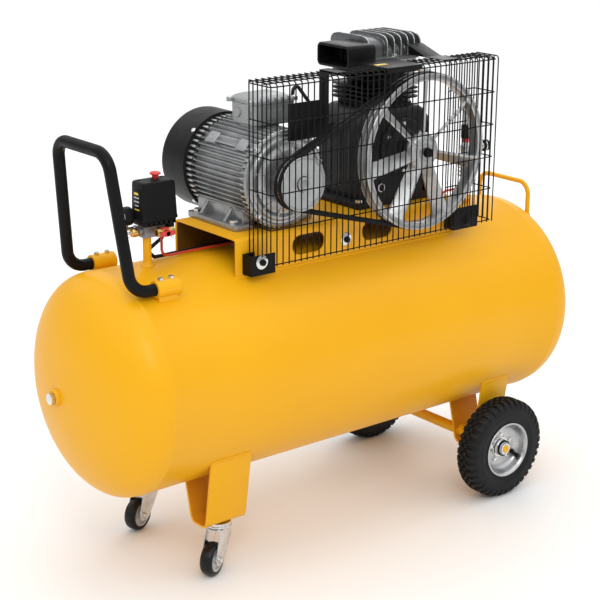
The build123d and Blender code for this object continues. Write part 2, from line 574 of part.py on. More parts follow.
def make_cylinders():
    x0, x1, y0, y1 = BLOCK
    middle_y = (y0 + y1) / 2
    body = Pos(CRANK_X, middle_y, CASE_TOP) * extrude(RectangleRounded(92, 146, 30), BLOCK_TOP - CASE_TOP)
    flange = Pos(CRANK_X, middle_y, CASE_TOP) * extrude(RectangleRounded(120, 148, 14), 9)
    body += flange
    for k in range(8):
        z = CASE_TOP + 17 + 10.5 * k
        if k == 4:
            continue
        body += Pos(CRANK_X, middle_y, z) * extrude(RectangleRounded(x1 - x0, y1 - y0, 20), 3.5)
    body += Pos(CRANK_X, middle_y, BLOCK_TOP - 8) * extrude(RectangleRounded(150, 148, 18), 8)
    for y in bore_centres():
        body -= cyl_z(BORE_R, CASE_TOP - 1, BLOCK_TOP + 1, CRANK_X, y)
    add("cylinder_block", body)
    plate = Pos(CRANK_X, middle_y, BLOCK_TOP) * extrude(RectangleRounded(150, 148, 18), 6)
    add("valve_plate", plate)
    for y in bore_centres():
        cup = cyl_z(BORE_R - 0.1, BLOCK_TOP - 44, BLOCK_TOP - 2, CRANK_X, y)
        cup -= cyl_z(BORE_R - 6, BLOCK_TOP - 45, BLOCK_TOP - 10, CRANK_X, y)
        for k in range(3):
            z = BLOCK_TOP - 8 - 5 * k
            cup -= cyl_z(BORE_R + 2, z, z + 2, CRANK_X, y) - cyl_z(BORE_R - 3, z - 1, z + 3, CRANK_X, y)
        add("pistons", cup)


def make_head():
    x0, x1 = 102.0, 278.0
    y0, y1 = BLOCK[2] + 1, BLOCK[3] - 1
    middle_y = (y0 + y1) / 2
    base = BLOCK_TOP + 6
    head = Pos(CRANK_X, middle_y, base) * extrude(RectangleRounded(x1 - x0, y1 - y0, 26), 8)
    head += Pos(CRANK_X, middle_y, base) * extrude(RectangleRounded(x1 - x0 - 24, y1 - y0 - 26, 20), 40)
    outline = make_face(Polyline(
        (y0 + 4, base), (y0 + 4, base + 34), (y0 + 26, HEAD_TOP), (y1 - 26, HEAD_TOP),
        (y1 - 4, base + 34), (y1 - 4, base), close=True))
    for k in range(8):
        x = x1 - 14 - 20 * k
        head += Pos(x, 0, 0) * (Plane.YZ * extrude(outline, 2, both=True))
    head -= block(x0 + 22, x1 - 22, y0 + 24, y1 - 24, base - 1, base + 26)
    spots = [(px, py) for px in (x0 + 22, CRANK_X, x1 - 24) for py in (y0 + 9, y1 - 9)]
    for px, py in spots:
        head -= cyl_z(10, base + 8, HEAD_TOP + 5, px, py)
        head -= cyl_z(4.2, base - 1, base + 9, px, py)
        add("m8_screws", Pos(px, py, base + 8) * hex_bolt(13, 6, 4, 8))
    add("cylinder_head", head)
    box = block(20, x0 + 5, -88, 28, 1092, 1146)
    box = fillet(box.edges().filter_by(Axis.X), 12)
    box -= block(10, 84, -80, 20, 1100, 1138)
    box -= head_space(x0, x1, y0, y1, base)
    add("filter_housing", box)


def head_space(x0, x1, y0, y1, base):
    """The room taken by the head, the block and the valve plate."""
    low = 900.0
    head = extrude(RectangleRounded(x1 - x0, y1 - y0, 26), HEAD_TOP - low)
    fins = extrude(RectangleRounded(BLOCK[1] - BLOCK[0], BLOCK[3] - BLOCK[2], 20), base - low)
    return Pos(CRANK_X, (y0 + y1) / 2, low) * head + Pos(CRANK_X, (BLOCK[2] + BLOCK[3]) / 2, low) * fins


# ---- belt guard ---------------------------------------------------------------
def make_guard():
    x0, x1, y0, y1 = GUARD
    wide = x1 - x0
    tall = GUARD_Z1 - GUARD_Z0
    deep = y1 - y0
    mid_x, mid_y, mid_z = (x0 + x1) / 2, (y0 + y1) / 2, (GUARD_Z0 + GUARD_Z1) / 2
    columns = round(wide / WIRE_PITCH)
    front = Plane((mid_x, y0 + WIRE / 2, mid_z), x_dir=(1, 0, 0), z_dir=(0, -1, 0))
    add("belt_guard", grille(front, wide, tall, columns, 5))
    top = Plane((mid_x, mid_y + WIRE / 2, GUARD_Z1 - WIRE / 2), x_dir=(1, 0, 0), z_dir=(0, 0, 1))
    add("belt_guard", grille(top, wide, deep - WIRE, columns, 1))
    for x, low in ((x1 - WIRE / 2, GUARD_Z0), (x0 + WIRE / 2, GUARD_Z0 + 17)):
        high = GUARD_Z1 - WIRE
        plane = Plane((x, mid_y + WIRE / 2, (low + high) / 2), x_dir=(0, 1, 0), z_dir=(1, 0, 0))
        add("belt_guard", grille(plane, deep - WIRE, high - low, 5, 5))
    back_x = 300.0
    width = x1 - WIRE - back_x
    plane = Plane((back_x + width / 2, y1 - WIRE / 2, (low + high) / 2), x_dir=(1, 0, 0), z_dir=(0, 1, 0))
    add("belt_guard", grille(plane, width, high - low, round(width / WIRE_PITCH), 5))
    stay = block(-91, -64, y1 + 0.5, y1 + 2.5, 953, GUARD_Z1)
    stay += block(-179, -64, y1 + 0.5, y1 + 2.5, 958, 1042)
    add("guard_brackets", stay + block(-91, -64, y0 + 20, y1 + 2.5, GUARD_Z1, GUARD_Z1 + 2))
    add("guard_plates", block(38, 144, y0, -95, GUARD_Z1, GUARD_Z1 + 2), deflector())
    for left, right, low, high in ((x0 - 16, x0 + 50, 676, 722), (306, 386, 684, 738)):
        bracket = block(left, right, -152, -149, low, high)
        bracket += block(left, left + 3, -152, -DECK_HALF, low, 722)
        bracket += block(left, left + 32, -DECK_HALF - 3, -DECK_HALF, 690, 722)
        add("guard_brackets", bracket)
    add("guard_bolts", washer_bolt(x0 + 12, -152, 706), washer_bolt(-7, -DECK_HALF, 707))
    add("guard_bolts", washer_bolt(350, -152, 700))


def washer_bolt(x, y, z):
    washer = Cylinder(16, 2, align=(Align.CENTER, Align.CENTER, Align.MIN))
    head = Pos(0, 0, 2) * extrude(RegularPolygon(6.5, 6, major_radius=False), 6)
    return Pos(x, y, z) * Rot(90, 0, 0) * (washer + head)


def deflector():
    """A bent sheet that leads cooling air from the flywheel to the cylinders."""
    outline = make_face(Polyline(
        (-61, 1132), (-61, 1129.5), (-125, GUARD_Z1), (-186, GUARD_Z1), (-186, GUARD_Z1 + 2),
        (-125.6, GUARD_Z1 + 2.2), close=True))
    return Pos(246, 0, 0) * (Plane.YZ * extrude(outline, 24, both=True))


make_tank()
make_deck()
make_feet()
make_axle()
for wheel_side, wheel_name in ((-1, "front"), (1, "rear")):
    make_wheel(wheel_side, wheel_name)
make_caster(-1, "front", 28)
make_caster(1, "rear", 20)
make_handles()
make_switch()
make_lines()
make_motor()
make_terminal_box()
make_pulley()
make_belts()
make_flywheel()
make_crankshaft()
make_crankcase()
make_cylinders()
make_head()
make_guard()

os.makedirs("parts", exist_ok=True)
for node, shapes in parts.items():
    solids = [solid for shape in shapes for solid in shape.solids()]
    export_step(Compound(children=solids), f"parts/{node}.step")
print(len(parts), "nodes")
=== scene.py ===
import math
import random

import bmesh
import bpy
import numpy as np
from mathutils import Matrix, Vector


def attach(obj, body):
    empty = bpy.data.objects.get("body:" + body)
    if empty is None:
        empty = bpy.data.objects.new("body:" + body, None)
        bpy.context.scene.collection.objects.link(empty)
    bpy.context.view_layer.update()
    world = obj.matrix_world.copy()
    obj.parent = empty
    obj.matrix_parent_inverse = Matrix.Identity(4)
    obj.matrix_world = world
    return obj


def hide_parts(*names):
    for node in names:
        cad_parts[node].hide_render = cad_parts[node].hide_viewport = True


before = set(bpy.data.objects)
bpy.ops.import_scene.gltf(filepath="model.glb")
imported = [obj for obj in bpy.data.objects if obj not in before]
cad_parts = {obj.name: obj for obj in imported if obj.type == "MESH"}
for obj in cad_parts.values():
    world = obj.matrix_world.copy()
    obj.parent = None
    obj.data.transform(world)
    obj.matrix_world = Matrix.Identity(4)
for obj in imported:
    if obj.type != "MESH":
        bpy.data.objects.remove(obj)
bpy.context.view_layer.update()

random.seed(7)
MM = 0.001
TAU = 2 * math.pi
CORNERS = ((-1, -1), (-1, 1), (1, -1), (1, 1))


# ---- camera -------------------------------------------------------------------
CAMERA_AT = (-2.30582, -2.82259, 1.66448)
AZIMUTH, ELEVATION, ROLL = math.radians(-38.658), math.radians(17.315), math.radians(0.325)
camera_data = bpy.data.cameras.new("camera")
camera_data.lens = 94.934
camera_data.sensor_width = 36.0
camera_data.clip_end = 100.0
camera = bpy.data.objects.new("camera", camera_data)
bpy.context.scene.collection.objects.link(camera)
back = Vector((math.sin(AZIMUTH) * math.cos(ELEVATION), -math.cos(AZIMUTH) * math.cos(ELEVATION),
               math.sin(ELEVATION)))
level = Vector((math.cos(AZIMUTH), math.sin(AZIMUTH), 0.0))
right = math.cos(ROLL) * level + math.sin(ROLL) * back.cross(level)
up = back.cross(right)
camera.matrix_world = Matrix.Translation(CAMERA_AT) @ Matrix((right, up, back)).transposed().to_4x4()
bpy.context.scene.camera = camera


# ---- materials ----------------------------------------------------------------
NOISE_ROUGHNESS = 0.55
ROUGHNESS_SWING = 0.08      # how far a finish's roughness strays from its mean


class Nodes:
    """A node material under construction."""

    def __init__(self, name):
        self.material = bpy.data.materials.new(name)
        self.material.use_nodes = True
        self.tree = self.material.node_tree
        self.tree.nodes.clear()
        self.shader = self.node("ShaderNodeBsdfPrincipled")
        output = self.node("ShaderNodeOutputMaterial")
        self.link(self.shader.outputs[0], output.inputs["Surface"])
        self.place = self.node("ShaderNodeTexCoord").outputs["Object"]

    def node(self, kind, **settings):
        made = self.tree.nodes.new(kind)
        for key, value in settings.items():
            setattr(made, key, value)
        return made

    def link(self, a, b):
        self.tree.links.new(a, b)

    def noise(self, scale, detail=3.0, stretch=None):
        made = self.node("ShaderNodeTexNoise")
        made.inputs["Scale"].default_value = scale
        made.inputs["Detail"].default_value = detail
        made.inputs["Roughness"].default_value = NOISE_ROUGHNESS
        source = self.place
        if stretch:
            scaled = self.node("ShaderNodeMapping")
            scaled.inputs["Scale"].default_value = stretch
            self.link(source, scaled.inputs["Vector"])
            source = scaled.outputs[0]
        self.link(source, made.inputs["Vector"])
        return made.outputs["Fac"]

    def ramp(self, source, stops):
        """Colours at places along a 0 to 1 value."""
        made = self.node("ShaderNodeValToRGB")
        ramp = made.color_ramp
        while len(ramp.elements) < len(stops):
            ramp.elements.new(0.5)
        for element, (at, colour) in zip(ramp.elements, stops):
            element.position = at
            element.color = (*colour, 1.0)
        self.link(source, made.inputs["Fac"])
        return made.outputs["Color"]

    def spread(self, source, low, high, a, b):
        """Map a value from low..high to a..b."""
        made = self.node("ShaderNodeMapRange")
        for key, value in zip(("From Min", "From Max", "To Min", "To Max"), (low, high, a, b)):
            made.inputs[key].default_value = value
        self.link(source, made.inputs["Value"])
        return made.outputs[0]

    def mix(self, factor, a, b, blend="MIX"):
        made = self.node("ShaderNodeMix", data_type="RGBA", blend_type=blend)
        for socket, value in ((made.inputs[0], factor), (made.inputs[6], a), (made.inputs[7], b)):
            if isinstance(value, (int, float)):
                socket.default_value = value
            elif isinstance(value, tuple):
                socket.default_value = (*value, 1.0)
            else:
                self.link(value, socket)
        return made.outputs[2]

    def bump(self, source, strength, depth, onto=None):
        made = self.node("ShaderNodeBump")
        made.inputs["Strength"].default_value = strength
        made.inputs["Distance"].default_value = depth
        self.link(source, made.inputs["Height"])
        if onto is not None:
            self.link(onto, made.inputs["Normal"])
        return made.outputs[0]

    def edges(self, radius):
        """How much a point lies on an edge, 0 to 1, and the rounded normal there."""
        rounded = self.node("ShaderNodeBevel", samples=4)
        rounded.inputs["Radius"].default_value = radius
        plain = self.node("ShaderNodeNewGeometry")
        dot = self.node("ShaderNodeVectorMath", operation="DOT_PRODUCT")
        self.link(rounded.outputs[0], dot.inputs[0])
        self.link(plain.outputs["Normal"], dot.inputs[1])
        return self.spread(dot.outputs["Value"], 0.995, 0.8, 0.0, 1.0), rounded.outputs[0]

    def set(self, **values):
        for key, value in values.items():
            self.shader.inputs[key.replace("_", " ")].default_value = value


def finish_of(name, light, dark, rough, metal=0.0, patch=7.0, grain=420.0, depth=0.0002, strength=0.25,
              edge_wear_and_highlight=None, wear_and_highlight_level=0.5, soft_edge=0.0008, stretch=None, coat=0.0, dust=None, shine=0.5):
    """A colour drifting between two shades, with a fine grain, rounded edges and an edge colour on them,
    which stands for rubbed edges and, on the dark head casting, for a painted highlight.
    """
    n = Nodes(name)
    drift = n.ramp(n.noise(patch, 4.0, stretch=stretch), [(0.3, dark), (0.7, light)])
    edge, rounded = n.edges(soft_edge)
    if edge_wear_and_highlight:
        wear_and_highlight_patches = n.ramp(n.noise(60.0, 5.0), [(0.45, (0, 0, 0)), (0.7, (wear_and_highlight_level, wear_and_highlight_level, wear_and_highlight_level))])
        amount = n.mix(1.0, edge, wear_and_highlight_patches, "MULTIPLY")
        drift = n.mix(amount, drift, edge_wear_and_highlight)
    if dust:
        drift = n.mix(n.spread(n.noise(11.0, 6.0), 0.5, 0.85, 0.0, 0.5), drift, dust)
    n.link(drift, n.shader.inputs["Base Color"])
    n.link(n.spread(n.noise(38.0, 4.0), 0.25, 0.75, rough - ROUGHNESS_SWING, rough + ROUGHNESS_SWING),
           n.shader.inputs["Roughness"])
    n.link(n.bump(n.noise(grain, 2.0, stretch=stretch), strength, depth, rounded),
           n.shader.inputs["Normal"])
    n.set(Metallic=metal, Coat_Weight=coat, Coat_Roughness=0.12, Specular_IOR_Level=shine)
    return n.material


def yellow_paint():
    """Baked enamel: a faint drift of shade, small darker specks and orange peel."""
    n = Nodes("yellow_enamel")
    drift = n.ramp(n.noise(2.2, 3.0), [(0.3, (0.82, 0.395, 0.004)), (0.7, (0.86, 0.425, 0.005))])
    specks = n.ramp(n.noise(170.0, 2.0), [(0.70, (0, 0, 0)), (0.78, (0.35, 0.35, 0.35))])
    drift = n.mix(specks, drift, (0.70, 0.32, 0.004))
    n.link(drift, n.shader.inputs["Base Color"])
    n.link(n.spread(n.noise(5.0, 3.0), 0.3, 0.7, 0.36, 0.44), n.shader.inputs["Roughness"])
    rounded = n.edges(0.0012)[1]
    n.link(n.bump(n.noise(260.0, 1.5), 0.10, 0.0004, rounded), n.shader.inputs["Normal"])
    n.set(Coat_Weight=0.06, Coat_Roughness=0.2, Specular_IOR_Level=0.22)
    return n.material


YELLOW = yellow_paint()
BLACK = finish_of("black_powder_coat", (0.007, 0.007, 0.0075), (0.004, 0.004, 0.0045), 0.40, grain=900.0,
                  depth=0.0003, strength=0.3, edge_wear_and_highlight=(0.05, 0.05, 0.05), shine=0.12)
WIRE_BLACK = finish_of("black_wire_coat", (0.006, 0.006, 0.0065), (0.004, 0.004, 0.0045), 0.38, grain=600.0,
                       strength=0.15, soft_edge=0.0003, shine=0.12)
SILVER = finish_of("silver_enamel", (0.56, 0.57, 0.58), (0.40, 0.41, 0.42), 0.30, metal=0.85, grain=700.0,
                   coat=0.1, edge_wear_and_highlight=(0.65, 0.66, 0.67))
ZINC = finish_of("zinc_plate", (0.80, 0.80, 0.79), (0.60, 0.60, 0.60), 0.22, metal=1.0, patch=40.0,
                 grain=300.0, depth=0.0001, edge_wear_and_highlight=(0.85, 0.85, 0.84))
STEEL = finish_of("ground_steel", (0.46, 0.46, 0.46), (0.33, 0.33, 0.34), 0.32, metal=1.0,
                  stretch=(1, 14, 1))
CORE = finish_of("stacked_steel", (0.30, 0.30, 0.31), (0.18, 0.18, 0.19), 0.45, metal=0.9,
                 stretch=(1, 60, 1))
CAST = finish_of("cast_aluminium", (0.66, 0.665, 0.67), (0.42, 0.425, 0.43), 0.34, metal=0.85, patch=26.0,
                 grain=520.0, depth=0.0006, strength=0.4, edge_wear_and_highlight=(0.95, 0.95, 0.95), wear_and_highlight_level=0.9)
# its near-white edge colour is a painted highlight along the fin edges
HEAD_CAST = finish_of("dark_cast_aluminium", (0.20, 0.205, 0.21), (0.12, 0.122, 0.125), 0.36, metal=0.85,
                      patch=26.0, grain=520.0, depth=0.0006, strength=0.4, edge_wear_and_highlight=(0.98, 0.98, 0.98),
                      wear_and_highlight_level=1.0, soft_edge=0.0014)
BELL_CAST = finish_of("bell_aluminium", (0.50, 0.51, 0.515), (0.30, 0.305, 0.31), 0.32, metal=0.85,
                      patch=22.0, grain=480.0, depth=0.0006, strength=0.4, edge_wear_and_highlight=(0.95, 0.95, 0.95),
                      wear_and_highlight_level=0.9)
MOTOR_GREY = finish_of("motor_aluminium", (0.38, 0.39, 0.395), (0.23, 0.235, 0.24), 0.34, metal=0.75,
                       patch=18.0, grain=480.0, depth=0.0006, strength=0.4, edge_wear_and_highlight=(0.9, 0.9, 0.9), wear_and_highlight_level=0.9,
                       soft_edge=0.0012)
CASE_IRON = finish_of("crankcase_iron", (0.024, 0.024, 0.025), (0.010, 0.010, 0.011), 0.42, patch=13.0,
                      grain=330.0, depth=0.0012, strength=0.6, edge_wear_and_highlight=(0.16, 0.16, 0.16), wear_and_highlight_level=0.8,
                      soft_edge=0.0014, shine=0.22)
# painted shade: a dull brown on thin liners inside the deck channel, where shade falls
DECK_SHADE_PAINT = finish_of("painted_shade_deck", (0.16, 0.085, 0.010), (0.10, 0.055, 0.008), 0.6, patch=9.0, grain=500.0,
                   shine=0.1)
# painted shade: a deeper orange on thin strips inside the feet and wheel legs, where shade falls
FEET_SHADE_PAINT = finish_of("painted_shade_feet", (0.70, 0.28, 0.006), (0.58, 0.22, 0.005), 0.5, patch=9.0, grain=500.0,
                       shine=0.15)
ZINC_CAST = finish_of("zinc_casting", (0.34, 0.34, 0.36), (0.22, 0.22, 0.24), 0.42, metal=0.7, patch=60.0,
                      grain=600.0, depth=0.0006, strength=0.5, edge_wear_and_highlight=(0.7, 0.7, 0.72))
BRASS = finish_of("brass", (0.76, 0.50, 0.19), (0.56, 0.33, 0.10), 0.28, metal=1.0, patch=50.0, grain=300.0,
                  edge_wear_and_highlight=(0.95, 0.78, 0.45))
IRON_BLACK = finish_of("black_iron", (0.008, 0.008, 0.0085), (0.004, 0.004, 0.0045), 0.46, patch=15.0,
                       grain=330.0, depth=0.0012, strength=0.55, edge_wear_and_highlight=(0.08, 0.08, 0.08), wear_and_highlight_level=0.7,
                       shine=0.15)
IRON_GREY = finish_of("pale_iron", (0.52, 0.53, 0.54), (0.40, 0.41, 0.42), 0.40, metal=0.4, patch=30.0,
                      grain=420.0, edge_wear_and_highlight=(0.85, 0.85, 0.85))
PLASTIC = finish_of("black_plastic", (0.007, 0.007, 0.0075), (0.004, 0.004, 0.0045), 0.40, grain=1500.0,
                    depth=0.0002, strength=0.5, edge_wear_and_highlight=(0.04, 0.04, 0.04), wear_and_highlight_level=0.5, shine=0.15)
PLASTIC_GREY = finish_of("grey_plastic", (0.34, 0.35, 0.355), (0.27, 0.28, 0.285), 0.36, grain=900.0,
                         edge_wear_and_highlight=(0.6, 0.6, 0.6), metal=0.35)
RED = finish_of("red_plastic", (0.72, 0.025, 0.018), (0.58, 0.018, 0.012), 0.30, grain=700.0, coat=0.3,
                edge_wear_and_highlight=(0.9, 0.2, 0.15))
RED_HOSE = finish_of("red_tube", (0.62, 0.05, 0.02), (0.50, 0.035, 0.015), 0.34, grain=500.0,
                     soft_edge=0.0003)
BELT = finish_of("belt_rubber", (0.012, 0.012, 0.012), (0.007, 0.007, 0.007), 0.62, patch=40.0,
                 grain=1400.0, depth=0.0004, strength=0.5, soft_edge=0.0004, edge_wear_and_highlight=(0.05, 0.05, 0.05),
                 shine=0.2)
CABLE = finish_of("cable_sheath", (0.012, 0.012, 0.013), (0.008, 0.008, 0.009), 0.40, grain=500.0,
                  soft_edge=0.0003, shine=0.25)
TYRE = finish_of("tyre_rubber", (0.014, 0.014, 0.015), (0.008, 0.008, 0.009), 0.60, patch=16.0, grain=700.0,
                 depth=0.0005, strength=0.45, soft_edge=0.0007, edge_wear_and_highlight=(0.04, 0.04, 0.042),
                 dust=(0.022, 0.021, 0.020), shine=0.2)
CASTER_RUBBER = finish_of("caster_rubber", (0.010, 0.010, 0.0105), (0.006, 0.006, 0.0065), 0.36, patch=30.0,
                          grain=500.0, edge_wear_and_highlight=(0.04, 0.04, 0.04), shine=0.25)
PALE = finish_of("pale_plastic", (0.62, 0.63, 0.63), (0.53, 0.54, 0.54), 0.35, grain=700.0,
                 edge_wear_and_highlight=(0.8, 0.8, 0.8))
DIAL = finish_of("dial_white", (0.80, 0.80, 0.78), (0.72, 0.72, 0.70), 0.35, grain=900.0, soft_edge=0.0002)
STICKER = finish_of("yellow_sticker", (0.85, 0.62, 0.03), (0.75, 0.52, 0.02), 0.35, grain=900.0,
                    soft_edge=0.0002)
# painted shade: near-black for the shadowed motor tail bell, the back of the intake box and behind the
# sight glass
SHADE_BLACK = finish_of("painted_shade_black", (0.006, 0.006, 0.006), (0.003, 0.003, 0.003), 0.8, grain=500.0)


# ---- shapes in millimetres ----------------------------------------------------
def at(x=0.0, y=0.0, z=0.0, axis="Z", spin=0.0):
    """A placement whose own Z points along the named axis, turned about it by spin degrees."""
    turns = {
        "Z": Matrix.Identity(4),
        "X": Matrix(((0, 0, 1, 0), (1, 0, 0, 0), (0, 1, 0, 0), (0, 0, 0, 1))),
        "Y": Matrix(((1, 0, 0, 0), (0, 0, 1, 0), (0, -1, 0, 0), (0, 0, 0, 1))),
        "-Z": Matrix.Rotation(math.pi, 4, "X"),
        "-X": Matrix(((0, 0, -1, 0), (-1, 0, 0, 0), (0, 1, 0, 0), (0, 0, 0, 1))),
        "-Y": Matrix(((1, 0, 0, 0), (0, 0, -1, 0), (0, 1, 0, 0), (0, 0, 0, 1))),
    }
    return Matrix.Translation((x, y, z)) @ turns[axis] @ rotation("Z", spin)


def rotation(axis, degrees):
    return Matrix.Rotation(math.radians(degrees), 4, axis)


class Piece:
    """Closed shells gathered in millimetres, made into one object at the end."""

    def __init__(self, *materials):
        self.materials = materials
        self.verts, self.faces, self.slots = [], [], []

    def put(self, shape, place=None, slot=0):
        verts, faces = shape
        points = np.asarray(verts, float).reshape(-1, 3)
        if place is not None:
            m = np.array(place)
            points = points @ m[:3, :3].T + m[:3, 3]
        base = len(self.verts)
        self.verts.extend(points.tolist())
        self.faces.extend([[i + base for i in f] for f in faces])
        self.slots.extend([slot] * len(faces))

    def bolt(self, place, across, height, washer=0.0, washer_thick=1.5, slot=0):
        for shape in hex_head(across, height, washer, washer_thick):
            self.put(shape, place, slot)

    def build(self, name, body, replaces, sharp=34.0):
        mesh = bpy.data.meshes.new(name)
        mesh.from_pydata((np.array(self.verts) * MM).tolist(), [], self.faces)
        for material in self.materials:
            mesh.materials.append(material)
        mesh.polygons.foreach_set("material_index", self.slots)
        work = bmesh.new()
        work.from_mesh(mesh)
        bmesh.ops.remove_doubles(work, verts=work.verts, dist=2e-6)
        bmesh.ops.recalc_face_normals(work, faces=work.faces)
        work.to_mesh(mesh)
        work.free()
        mesh.shade_smooth()
        mesh.set_sharp_from_angle(angle=math.radians(sharp))
        obj = bpy.data.objects.new(name, mesh)
        bpy.context.scene.collection.objects.link(obj)
        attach(obj, body)
        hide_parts(*([replaces] if isinstance(replaces, str) else replaces))


def lathe(profile, count=64, closed=False):
    """Turn (radius, height) points about Z. A closed profile makes a ring."""
    verts, faces, rings = [], [], []
    for r, z in profile:
        if r < 1e-6:
            rings.append([len(verts)])
            verts.append((0.0, 0.0, z))
            continue
        rings.append(list(range(len(verts), len(verts) + count)))
        verts.extend((r * math.cos(TAU * i / count), r * math.sin(TAU * i / count), z)
                     for i in range(count))
    pairs = list(zip(rings, rings[1:]))
    if closed:
        pairs.append((rings[-1], rings[0]))
    for a, b in pairs:
        for i in range(count):
            j = (i + 1) % count
            if len(a) == 1 and len(b) == 1:
                break
            if len(a) == 1:
                faces.append([a[0], b[i], b[j]])
            elif len(b) == 1:
                faces.append([a[i], a[j], b[0]])
            else:
                faces.append([a[i], a[j], b[j], b[i]])
    return verts, faces


def circle(r, count=40, x=0.0, y=0.0):
    return [(x + r * math.cos(TAU * i / count), y + r * math.sin(TAU * i / count)) for i in range(count)]


def rounded(points, radius, steps=5):
    """A flat polygon with its corners rounded; radius is one number or one for each corner."""
    loop = []
    count = len(points)
    for i in range(count):
        p = Vector(points[i])
        a, b = Vector(points[i - 1]) - p, Vector(points[(i + 1) % count]) - p
        r = radius[i] if isinstance(radius, (list, tuple)) else radius
        half = a.angle(b) / 2
        reach = min(r / max(math.tan(half), 1e-6), 0.49 * a.length, 0.49 * b.length)
        if r <= 0 or half > math.radians(88):
            loop.append(tuple(p))
            continue
        r = reach * math.tan(half)
        centre = p + (a.normalized() + b.normalized()).normalized() * (r / math.sin(half))
        start, end = p + a.normalized() * reach - centre, p + b.normalized() * reach - centre
        turn = start.angle_signed(end)
        for k in range(steps + 1):
            loop.append(tuple(centre + Matrix.Rotation(-turn * k / steps, 2) @ start))
    return loop


def box_loop(w, h, r=0.0, x=0.0, y=0.0, steps=5):
    points = [(x - w / 2, y - h / 2), (x + w / 2, y - h / 2), (x + w / 2, y + h / 2),
              (x - w / 2, y + h / 2)]
    return rounded(points, r, steps) if r else points


def slab(loops, thick, bevel=0.0, res=1):
    """A flat plate centred on z = 0 with eased edges; the first loop is its outline, the rest are holes."""
    curve = bpy.data.curves.new("slab", "CURVE")
    curve.dimensions = "2D"
    curve.fill_mode = "BOTH"
    for number, loop in enumerate(loops):
        area = sum(a[0] * b[1] - b[0] * a[1] for a, b in zip(loop, loop[1:] + loop[:1]))
        if (area > 0) != (number == 0):
            loop = loop[::-1]
        spline = curve.splines.new("POLY")
        spline.points.add(len(loop) - 1)
        spline.points.foreach_set("co", [c for x, y in loop for c in (x, y, 0.0, 1.0)])
        spline.use_cyclic_u = True
    curve.extrude = thick / 2 - bevel
    curve.bevel_depth = bevel
    curve.bevel_resolution = res
    curve.offset = -bevel
    holder = bpy.data.objects.new("slab", curve)
    mesh = bpy.data.meshes.new_from_object(holder)
    verts = [tuple(v.co) for v in mesh.vertices]
    faces = [list(p.vertices) for p in mesh.polygons]
    bpy.data.objects.remove(holder)
    bpy.data.curves.remove(curve)
    bpy.data.meshes.remove(mesh)
    return verts, faces


def block(x0, x1, y0, y1, z0, z1, bevel=1.0, corner=0.0):
    """An upright block with eased edges and, if asked, rounded upright corners."""
    verts, faces = slab([box_loop(x1 - x0, y1 - y0, max(corner, 0.01))], z1 - z0, bevel)
    return [(x + (x0 + x1) / 2, y + (y0 + y1) / 2, z + (z0 + z1) / 2) for x, y, z in verts], faces


def bend_path(points, radius, step=9.0):
    """A line of points with arcs at its corners."""
    out = [Vector(points[0])]
    for i in range(1, len(points) - 1):
        p = Vector(points[i])
        a, b = Vector(points[i - 1]) - p, Vector(points[i + 1]) - p
        r = radius[i - 1] if isinstance(radius, (list, tuple)) else radius
        half = a.angle(b) / 2
        reach = r / math.tan(half)
        a.normalize()
        b.normalize()
        centre = p + (a + b).normalized() * (r / math.sin(half))
        u = p + a * reach - centre
        v = p + b * reach - centre
        turn = u.angle(v)
        count = max(3, round(math.degrees(turn) / step))
        axis = u.cross(v).normalized()
        for k in range(count + 1):
            out.append(centre + Matrix.Rotation(turn * k / count, 3, axis) @ u)
    out.append(Vector(points[-1]))
    return out


def sweep(path, section, closed=False, scale=None, twist=None):
    """Carry a flat loop along a line, turning it no more than the line turns.

    scale is a factor, and twist an angle in radians, for each point."""
    path = [Vector(p) for p in path]
    count, sides = len(path), len(section)
    tangents = []
    for i in range(count):
        before = path[i - 1] if (i or closed) else path[i]
        after = path[(i + 1) % count] if (i < count - 1 or closed) else path[i]
        tangents.append((after - before).normalized())
    first = Vector((0, 0, 1)) if abs(tangents[0].z) < 0.9 else Vector((0, 1, 0))
    side = (first - tangents[0] * first.dot(tangents[0])).normalized()
    verts = []
    for i, (p, t) in enumerate(zip(path, tangents)):
        side = (side - t * side.dot(t)).normalized()
        other = t.cross(side)
        k = scale[i] if scale is not None else 1.0
        angle = twist[i] if twist is not None else 0.0
        c, s = math.cos(angle), math.sin(angle)
        for x, y in section:
            verts.append(p + (side * (x * c - y * s) + other * (x * s + y * c)) * k)
    faces = []
    for i in range(count if closed else count - 1):
        a, b = i * sides, ((i + 1) % count) * sides
        for j in range(sides):
            k = (j + 1) % sides
            faces.append([a + j, a + k, b + k, b + j])
    if not closed:
        faces.append(list(range(sides))[::-1])
        faces.append([(count - 1) * sides + j for j in range(sides)])
    return [tuple(v) for v in verts], faces


def tube(path, r, count=14, closed=False, scale=None):
    return sweep(path, circle(r, count), closed, scale)


def hex_head(across, height, washer=0.0, washer_thick=1.5):
    """A hexagon head on z = 0, with an eased crown and, if asked, a washer under it."""
    r = across / math.sqrt(3)
    verts, faces = slab([circle(r, 6)], height, 0.6)
    shapes = [([(x, y, z + height / 2 + (washer_thick if washer else 0)) for x, y, z in verts], faces)]
    if washer:
        shapes.append(lathe([(0, 0), (washer - 0.4, 0), (washer, 0.4), (washer, washer_thick - 0.4),
                             (washer - 0.4, washer_thick), (0, washer_thick)], 32))
    return shapes


def weld(path, r=3.0, seed=1):
    """A run of weld with overlapping ripples."""
    rng = random.Random(seed)
    dense = []
    for a, b in zip(path, path[1:]):
        a, b = Vector(a), Vector(b)
        steps = max(2, int((b - a).length / 2.2))
        dense.extend(a.lerp(b, k / steps) for k in range(steps))
    dense.append(Vector(path[-1]))
    scale = [1.0 + 0.14 * math.sin(i * 2.1) + rng.uniform(-0.1, 0.1) for i in range(len(dense))]
    scale[0] = scale[-1] = 0.35
    return tube(dense, r, 8, scale=scale)


# ---- tank, deck and feet ------------------------------------------------------
TANK_R, TANK_Z, HALF, DOME = 254.0, 445.0, 590.0, 115.0


def on_tank(y):
    """Height of the tank's upper skin at that distance from its middle plane."""
    return TANK_Z + math.sqrt(TANK_R ** 2 - y * y)


